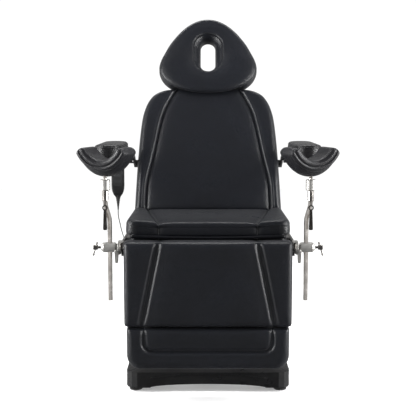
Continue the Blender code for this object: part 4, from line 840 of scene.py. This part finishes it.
def add_pillow():
    """A closed skin: back face, wall, rolled edge, crowned front, the hole's rim and its throat."""
    angles = np.linspace(0, math.tau, PILLOW_SPOKES, endpoint=False)
    outline = on_rays(egg_loop(), angles)
    rim = long_hole(*HOLE_RIM, angles)
    slot = long_hole(*HOLE_SLOT, angles)
    rings = []

    def ring(flat, height):
        heights = np.broadcast_to(height, len(flat))
        rings.append([on_back(x, max(u, PILLOW_CLEAR) if h < PILLOW_FREE else u, h)
                      for (x, u), h in zip(flat, heights)])

    span = np.linalg.norm(outline - rim, axis=1)
    direction = (outline - rim) / span[:, None]
    crown = PILLOW_CROWN * np.clip(span / 0.15, 0.3, 1)
    rear = -PILLOW_THICK + PILLOW_PROUD
    seam = PILLOW_PROUD - PILLOW_ROLL
    ring(outline - direction * 0.01, rear)
    ring(outline - direction * 0.004, rear)
    ring(outline - direction * 0.0015, rear + 0.003)
    low, high = rear + 0.006, seam - 0.001
    for share, bulge in ((0.12, 0.0005), (0.35, 0.003), (0.65, 0.0035), (0.88, 0.0012)):
        ring(outline + direction * bulge, low + (high - low) * share)
    ring(outline - direction * 0.0022, seam)
    for bend in (8, 30, 55, 78):
        a = math.radians(bend)
        ring(outline + direction * (0.001 - PILLOW_ROLL * (1 - math.cos(a))),
             seam + PILLOW_ROLL * math.sin(a))
    for share in (0.12, 0.24, 0.38, 0.52, 0.66, 0.78, 0.88):
        flat = outline * (1 - share) + rim * share
        room = np.minimum(np.linalg.norm(outline - flat, axis=1), np.linalg.norm(flat - rim, axis=1) * 1.4)
        ring(flat, PILLOW_PROUD + crown * np.sin(np.clip(room / 0.075, 0, 1) * math.pi / 2))
    inward = rim - slot
    inward /= np.linalg.norm(inward, axis=1)[:, None]
    for bend in (0, 25, 50, 75):
        a = math.radians(bend)
        ring(rim + inward * (HOLE_ROLL * 0.6 - HOLE_ROLL * math.sin(a)),
             PILLOW_PROUD + 0.0015 - HOLE_ROLL * (1 - math.cos(a)))
    throat = rim - inward * (HOLE_ROLL * 0.42)
    ring(throat, PILLOW_PROUD - HOLE_ROLL - 0.001)
    for share, depth in ((0.25, 0.016), (0.55, 0.026), (0.85, 0.038), (1.0, 0.05), (1.0, 0.072)):
        ring(throat * (1 - share) + slot * share, PILLOW_PROUD - depth)
    ring(slot + direction * 0.002, rear)
    pillow = add_loft("head_pillow_cover", rings, LEATHER, closed=True)
    upholster(pillow, "head_pillow", "head")

    edge = [on_back(x, u, seam + 0.0004) for x, u in outline - direction * 0.0004]
    add_welt("head_pillow_welt", edge, 0.0021, "head")
    edge = [on_back(x, u, PILLOW_PROUD - 0.003) for x, u in rim - inward * (HOLE_ROLL * 0.16)]
    add_welt("head_pillow_hole_welt", edge, 0.0017, "head")
    sewn = [on_back(x, u, PILLOW_PROUD + 0.0006) for x, u in rim + inward * (HOLE_ROLL * 0.6 + 0.004)]
    stitches("head_pillow_stitching", [sewn + sewn[:1]], "head")


def add_welt(name, path, radius, body):
    """Piping along a closed path."""
    middle = sum(path, Vector()) / len(path)
    rings = []
    for i, centre in enumerate(path):
        ahead = (path[(i + 1) % len(path)] - path[i - 1]).normalized()
        side = centre - middle
        side = (side - ahead * side.dot(ahead)).normalized()
        rings.append(circle(centre, side, ahead.cross(side), radius, WELT_SIDES))
    dress(add_loft(name, rings, WELT, closed=True), body)


add_pillow()


# ---- handset and its cord
CORD_DIAMETER = 0.004
CORD_SIDES = 14
CORD_ROUTE = [(-0.395, 0.548, 0.6889), (-0.395, 0.5466, 0.681), (-0.3945, 0.5425, 0.668),
              (-0.392, 0.5385, 0.652), (-0.387, 0.5355, 0.632), (-0.38, 0.532, 0.602),
              (-0.367, 0.526, 0.56), (-0.351, 0.514, 0.515), (-0.334, 0.493, 0.47),
              (-0.316, 0.466, 0.436), (-0.298, 0.435, 0.421), (-0.283, 0.402, 0.426),
              (-0.273, 0.375, 0.45), (-0.2685, 0.3575, 0.485), (-0.268, 0.352, 0.505),
              (-0.268, 0.35, 0.515)]
BOOT_RIBS = 5
BOOT_PITCH = 0.0078
BOOT_SIDES = 28
BEZEL_HALF = (0.0185, 0.048)


def add_cord():
    """The handset's cord, from its boot in a slack loop to the gland on the seat frame."""
    path = smooth_line([(x, y + FRONT_Y, z) for x, y, z in CORD_ROUTE], CORD_DIAMETER * 1.5)
    rings = tube_rings(path, [CORD_DIAMETER / 2] * len(path), CORD_SIDES)
    cord = add_loft("handset_cord_free", rings, RUBBER)
    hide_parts("handset_cord")
    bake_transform(cord)


def add_boot():
    """A tapered, ribbed sleeve where the cord leaves the handset, and the panel round its rockers."""
    low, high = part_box("handset")
    middle = Vector(((low.x + high.x) / 2, CORD_ROUTE[0][1] + FRONT_Y, low.z + 0.064))
    profile = [(0.007, -0.001), (0.0118, 0.0), (0.0126, 0.003), (0.0118, 0.007), (0.01, 0.0115)]
    reach = 0.014
    for rib in range(BOOT_RIBS):
        size = 0.0092 - 0.0011 * rib
        profile += [(size, reach), (size, reach + 0.0042), (size - 0.0016, reach + 0.005),
                    (size - 0.0018, reach + 0.0068)]
        reach += BOOT_PITCH
    profile += [(0.0036, reach), (0.0031, 0.062), (0.0022, 0.0628)]
    boot = add_turned("handset_boot", profile, middle, Vector((0, 0, -1)), BOOT_SIDES, RUBBER)
    dress(boot, "back")
    bezel_middle = Vector((middle.x, low.y - 0.0002, high.z - 0.058))
    bezel = add_plate("handset_bezel", bezel_middle, BEZEL_HALF, 0.006, 0.0012, PANEL)
    dress(bezel, "back")


# ---- calf supports
CRUTCH_X = 0.387
CRUTCH_YAW = math.radians(16)
CRUTCH_ARC_Z = 1.0415  # centre of the wall's arc
CRUTCH_ARC = (0.097, 0.122)  # half-width and depth of the middle of the wall
CRUTCH_WALL = 1.22  # thickness, against the section's
CRUTCH_OPEN = math.radians(35)  # angle from level up to each lip's end
CRUTCH_BULGE = 0.0195
CRUTCH_HALF_WALL = 0.0165
# Half a section of the wall: place along the trough, and out from the middle of the wall.
CRUTCH_SECTION = [(0.0, -0.0165), (0.03, -0.017), (0.048, -0.0172), (0.0565, -0.0168),
                  (0.0625, -0.0145), (0.0662, -0.0105), (0.068, -0.0055), (0.0676, -0.0012),
                  (0.0655, 0.0016), (0.0632, 0.003), (0.0655, 0.0046), (0.0674, 0.0078),
                  (0.0662, 0.0112), (0.0636, 0.0146), (0.0595, 0.0166), (0.0545, 0.0168),
                  (0.0515, 0.0148), (0.049, 0.0146), (0.0455, 0.0172), (0.038, 0.0196),
                  (0.026, 0.0208), (0.0, 0.0212)]
CRUTCH_SHARES = [0.0] * 15 + [0.03, 0.08, 0.16, 0.32, 0.6, 0.86, 1.0]  # of the bulge
CRUTCH_RINGS = 37
# How far each ring of a rounded lip stands beyond the wall's end, and how far it is drawn in.
CRUTCH_TIPS = ((0.0045, 0.0008), (0.0085, 0.003), (0.0118, 0.0068), (0.0138, 0.0112), (0.0145, 0.015))


def crutch_ring(side, centre, normal, drawn_in, bulge):
    """One closed section of the trough's wall."""
    half = [(-along, out, share) for (along, out), share in zip(CRUTCH_SECTION, CRUTCH_SHARES)]
    loop = half + [(-along, out, share) for along, out, share in half[-2:0:-1]]
    turn = Matrix.Rotation(side * CRUTCH_YAW, 3, "Z")
    points = []
    for along, out, share in loop:
        along = math.copysign(max(abs(along) - drawn_in, 0.0), along)
        out *= 1 - drawn_in / CRUTCH_HALF_WALL
        reach = out * CRUTCH_WALL + bulge * share
        local = Vector((centre[0] + normal[0] * reach, along, 0))
        height = centre[1] + normal[1] * reach
        points.append(turn @ local + Vector((side * CRUTCH_X, FRONT_Y, CRUTCH_ARC_Z + height)))
    return points


def crutch_arc(angle):
    """Centre of the wall at an angle, its outward normal and its direction."""
    half, deep = CRUTCH_ARC
    centre = Vector((half * math.cos(angle), deep * math.sin(angle)))
    normal = Vector((math.cos(angle) / half, math.sin(angle) / deep)).normalized()
    return centre, normal, Vector((-normal.y, normal.x))


def add_crutch(word, side):
    """Moulded trough for the calf: thick lips with a groove along them, and a belly underneath."""
    rings = []
    angles = np.linspace(math.pi + CRUTCH_OPEN, math.tau - CRUTCH_OPEN, CRUTCH_RINGS)
    for step, angle in enumerate(angles):
        centre, normal, _ = crutch_arc(angle)
        bulge = CRUTCH_BULGE * math.sin(math.pi * step / (CRUTCH_RINGS - 1)) ** 1.4
        rings.append(crutch_ring(side, centre, normal, 0.0, bulge))
    for angle, way in ((angles[0], -1), (angles[-1], 1)):
        centre, normal, tangent = crutch_arc(angle)
        caps = [crutch_ring(side, centre + tangent * way * rise, normal, inset, 0.0)
                for rise, inset in CRUTCH_TIPS]
        rings = rings + caps if way > 0 else caps[::-1] + rings
    pad = add_loft("calf_support_" + word, rings, FOAM)
    upholster(pad, "crutch_pad_" + word, "crutch_" + word)


# ---- armrests
ARMREST_TALL = 0.86  # height, against the profile's
ARMREST_SPOKES = 64
# Outward offset and height, from the underside up to the crown.
ARMREST_PROFILE = [(-0.011, 0.0), (-0.0035, 0.0), (-0.0006, 0.003), (0.0008, 0.012), (0.0012, 0.026),
                   (0.0008, 0.04), (-0.0004, 0.0475), (-0.0024, 0.049), (-0.0012, 0.0508),
                   (-0.0022, 0.055), (-0.0055, 0.0592), (-0.011, 0.0618), (-0.019, 0.063),
                   (-0.032, 0.064), (-0.045, 0.0645)]


def add_armrest(word):
    """Long pad with half-round ends, a rolled top edge, a welt and a crowned top."""
    low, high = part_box("armrest_pad_" + word)
    middle = (low + high) / 2
    half = (high - low) / 2
    corner = half.x - 0.004

    def ring(out, height):
        size = max(corner + out, 0.001)
        spread = half.x - corner + min(0.0, corner + out - 0.001)
        points = []
        for k in range(ARMREST_SPOKES):
            angle = math.tau * (k + 0.5) / ARMREST_SPOKES
            x = size * math.cos(angle) + math.copysign(max(spread, 0.0), math.cos(angle))
            y = size * math.sin(angle) + math.copysign(half.y - corner, math.sin(angle))
            points.append(Vector((middle.x + x, middle.y + y, low.z + height * ARMREST_TALL)))
        return points

    pad = add_loft("armrest_cover_" + word, [ring(*place) for place in ARMREST_PROFILE], GLOSSY)
    upholster(pad, "armrest_pad_" + word, "armrest_" + word)
    add_welt("armrest_welt_" + word, ring(-0.0006, 0.0494), 0.0016, "armrest_" + word)

# ---- seat's front lip and the base's bead
LIP_HALF = 0.302
LIP_LOW_Z = 0.6358
LIP_BACK = 0.0076  # its middle, behind the plane of the seat's front
LIP_DEEP = 0.0072
LIP_TALL = (0.008, 0.014)  # height in the middle, and what the ends add
LIP_ROUND_FROM = 0.93  # share of the half-width where an end starts to close
LIP_STATIONS = 61
LIP_SIDES = 14
BEAD_HALF = 0.235
BEAD_Z = 0.0585
BEAD_RISE = 0.0185
BEAD_RADIUS = 0.002
BEAD_STATIONS = 41


def add_seat_lip():
    """A roll along the seat's lower front edge, deep at its ends and shallow in the middle."""
    rings = []
    for share in np.linspace(-1, 1, LIP_STATIONS):
        past = min(1.0, max(0.0, (abs(share) - LIP_ROUND_FROM) / (1 - LIP_ROUND_FROM)))
        close = math.sqrt(1 - past ** 2) * 0.98 + 0.02
        tall = (LIP_TALL[0] + LIP_TALL[1] * abs(share) ** 2.2) * (0.35 + 0.65 * close)
        ring = []
        for k in range(LIP_SIDES):
            angle = math.tau * k / LIP_SIDES
            bulk = math.copysign(abs(math.sin(angle)) ** 0.7, math.sin(angle))
            ring.append((share * LIP_HALF, FRONT_Y + LIP_BACK - LIP_DEEP * close * math.cos(angle),
                         LIP_LOW_Z + tall / 2 * (1 + bulk)))
        rings.append(ring)
    dress(add_loft("seat_lip", rings, LEATHER), "seat")


def add_base_line():
    """A shallow bead that arches across the base cover's front."""
    half_count = BEAD_STATIONS // 2
    path = [Vector((x, base_low.y - 0.001, BEAD_Z + BEAD_RISE * math.cos(x / BEAD_HALF * math.pi / 2)))
            for x in np.linspace(-BEAD_HALF, BEAD_HALF, BEAD_STATIONS)]
    radii = [BEAD_RADIUS * math.sqrt(max(0.05, 1 - abs(i / half_count - 1) ** 6))
             for i in range(BEAD_STATIONS)]
    dress(add_loft("base_cover_bead", tube_rings(path, radii, 8), COVER), "base")


add_cord()
add_boot()
for word, side in SIDES:
    add_crutch(word, side)
    add_armrest(word)
add_seat_lip()
add_base_line()


# ---- room
WALLS = 0.85  # strength of the world for light that isn't mirrored
SEEN_WALLS = 1.05  # and for the camera
MIRROR_FRONT, MIRROR_SIDE, MIRROR_BEHIND = 0.03, 0.8, 0.22
TOP_POWER, EDGE_POWER, SIDE_POWER = 170, 30, 100
FLOOR_HALF = 9
FLOOR_GLOW = 0.26


def add_floor():
    material, tree, principled, where = shader("floor", Roughness=0.7, Specular_IOR_Level=0.2,
                                               Emission_Color=(1, 1, 1, 1), Emission_Strength=FLOOR_GLOW)
    tone = levels(tree, noise(tree, where, 1.5), 0.3, 0.7, 0.0, 1.0)
    colour = tint(tree, tone, (0.88, 0.88, 0.88), (0.9, 0.9, 0.9))
    drive(principled, "Base Color", colour)
    corners = [(x * FLOOR_HALF, y * FLOOR_HALF, 0) for x, y in ((-1, -1), (1, -1), (1, 1), (-1, 1))]
    floor = add_mesh("floor", corners, [(0, 1, 2, 3)], material, smooth=False)
    floor.visible_glossy = False


def add_light(name, place, aim, size, power, mirrored_in_gloss=True):
    data = bpy.data.lights.new(name, "AREA")
    data.shape = "RECTANGLE"
    data.size, data.size_y = size
    data.energy = power
    light = bpy.data.objects.new(name, data)
    light.location = place
    light.rotation_euler = (Vector(aim) - Vector(place)).to_track_quat("-Z", "Y").to_euler()
    light.visible_glossy = mirrored_in_gloss
    bpy.context.scene.collection.objects.link(light)


def chosen(tree, by, usual, other):
    """The first number, or the second where a ray is of the given kind."""
    node = tree.nodes.new("ShaderNodeMix")
    tree.links.new(by, node.inputs["Factor"])
    for socket, value in (("A", usual), ("B", other)):
        if isinstance(value, float):
            node.inputs[socket].default_value = value
        else:
            tree.links.new(value, node.inputs[socket])
    return node.outputs["Result"]


def add_world():
    """White studio walls; in reflections the room is darker in front of the table than behind it."""
    world = bpy.data.worlds.new("studio")
    world.use_nodes = True
    tree = world.node_tree
    background = tree.nodes["Background"]
    background.inputs["Color"].default_value = (1.0, 1.0, 1.0, 1)
    ray = tree.nodes.new("ShaderNodeLightPath")
    split = tree.nodes.new("ShaderNodeSeparateXYZ")
    tree.links.new(tree.nodes.new("ShaderNodeTexCoord").outputs["Generated"], split.inputs["Vector"])
    behind = levels(tree, split.outputs["Y"], -0.1, 0.7, 0.0, MIRROR_BEHIND)
    off_middle = arithmetic(tree, "ABSOLUTE", split.outputs["X"], 0.0)
    sideways = levels(tree, off_middle, 0.3, 0.62, MIRROR_FRONT, MIRROR_SIDE)
    mirrored = arithmetic(tree, "MAXIMUM", behind, sideways)
    unseen = chosen(tree, ray.outputs["Is Glossy Ray"], WALLS, mirrored)
    strength = chosen(tree, ray.outputs["Is Camera Ray"], unseen, SEEN_WALLS)
    tree.links.new(strength, background.inputs["Strength"])
    bpy.context.scene.world = world


def add_room():
    add_floor()
    add_world()
    add_light("top_light", (0.0, -0.3, 3.6), (0, -0.3, 0.0), (3.4, 3.4), TOP_POWER, False)
    add_light("edge_light", (0.0, 1.2, 3.2), (0, -0.3, 0.8), (2.4, 0.35), EDGE_POWER)
    add_light("left_light", (-2.4, -0.9, 1.3), (0, 0, 0.7), (0.4, 2.2), SIDE_POWER)
    add_light("right_light", (2.4, -0.9, 1.3), (0, 0, 0.7), (0.4, 2.2), SIDE_POWER)
    bpy.context.scene.view_settings.view_transform = "Standard"


add_room()
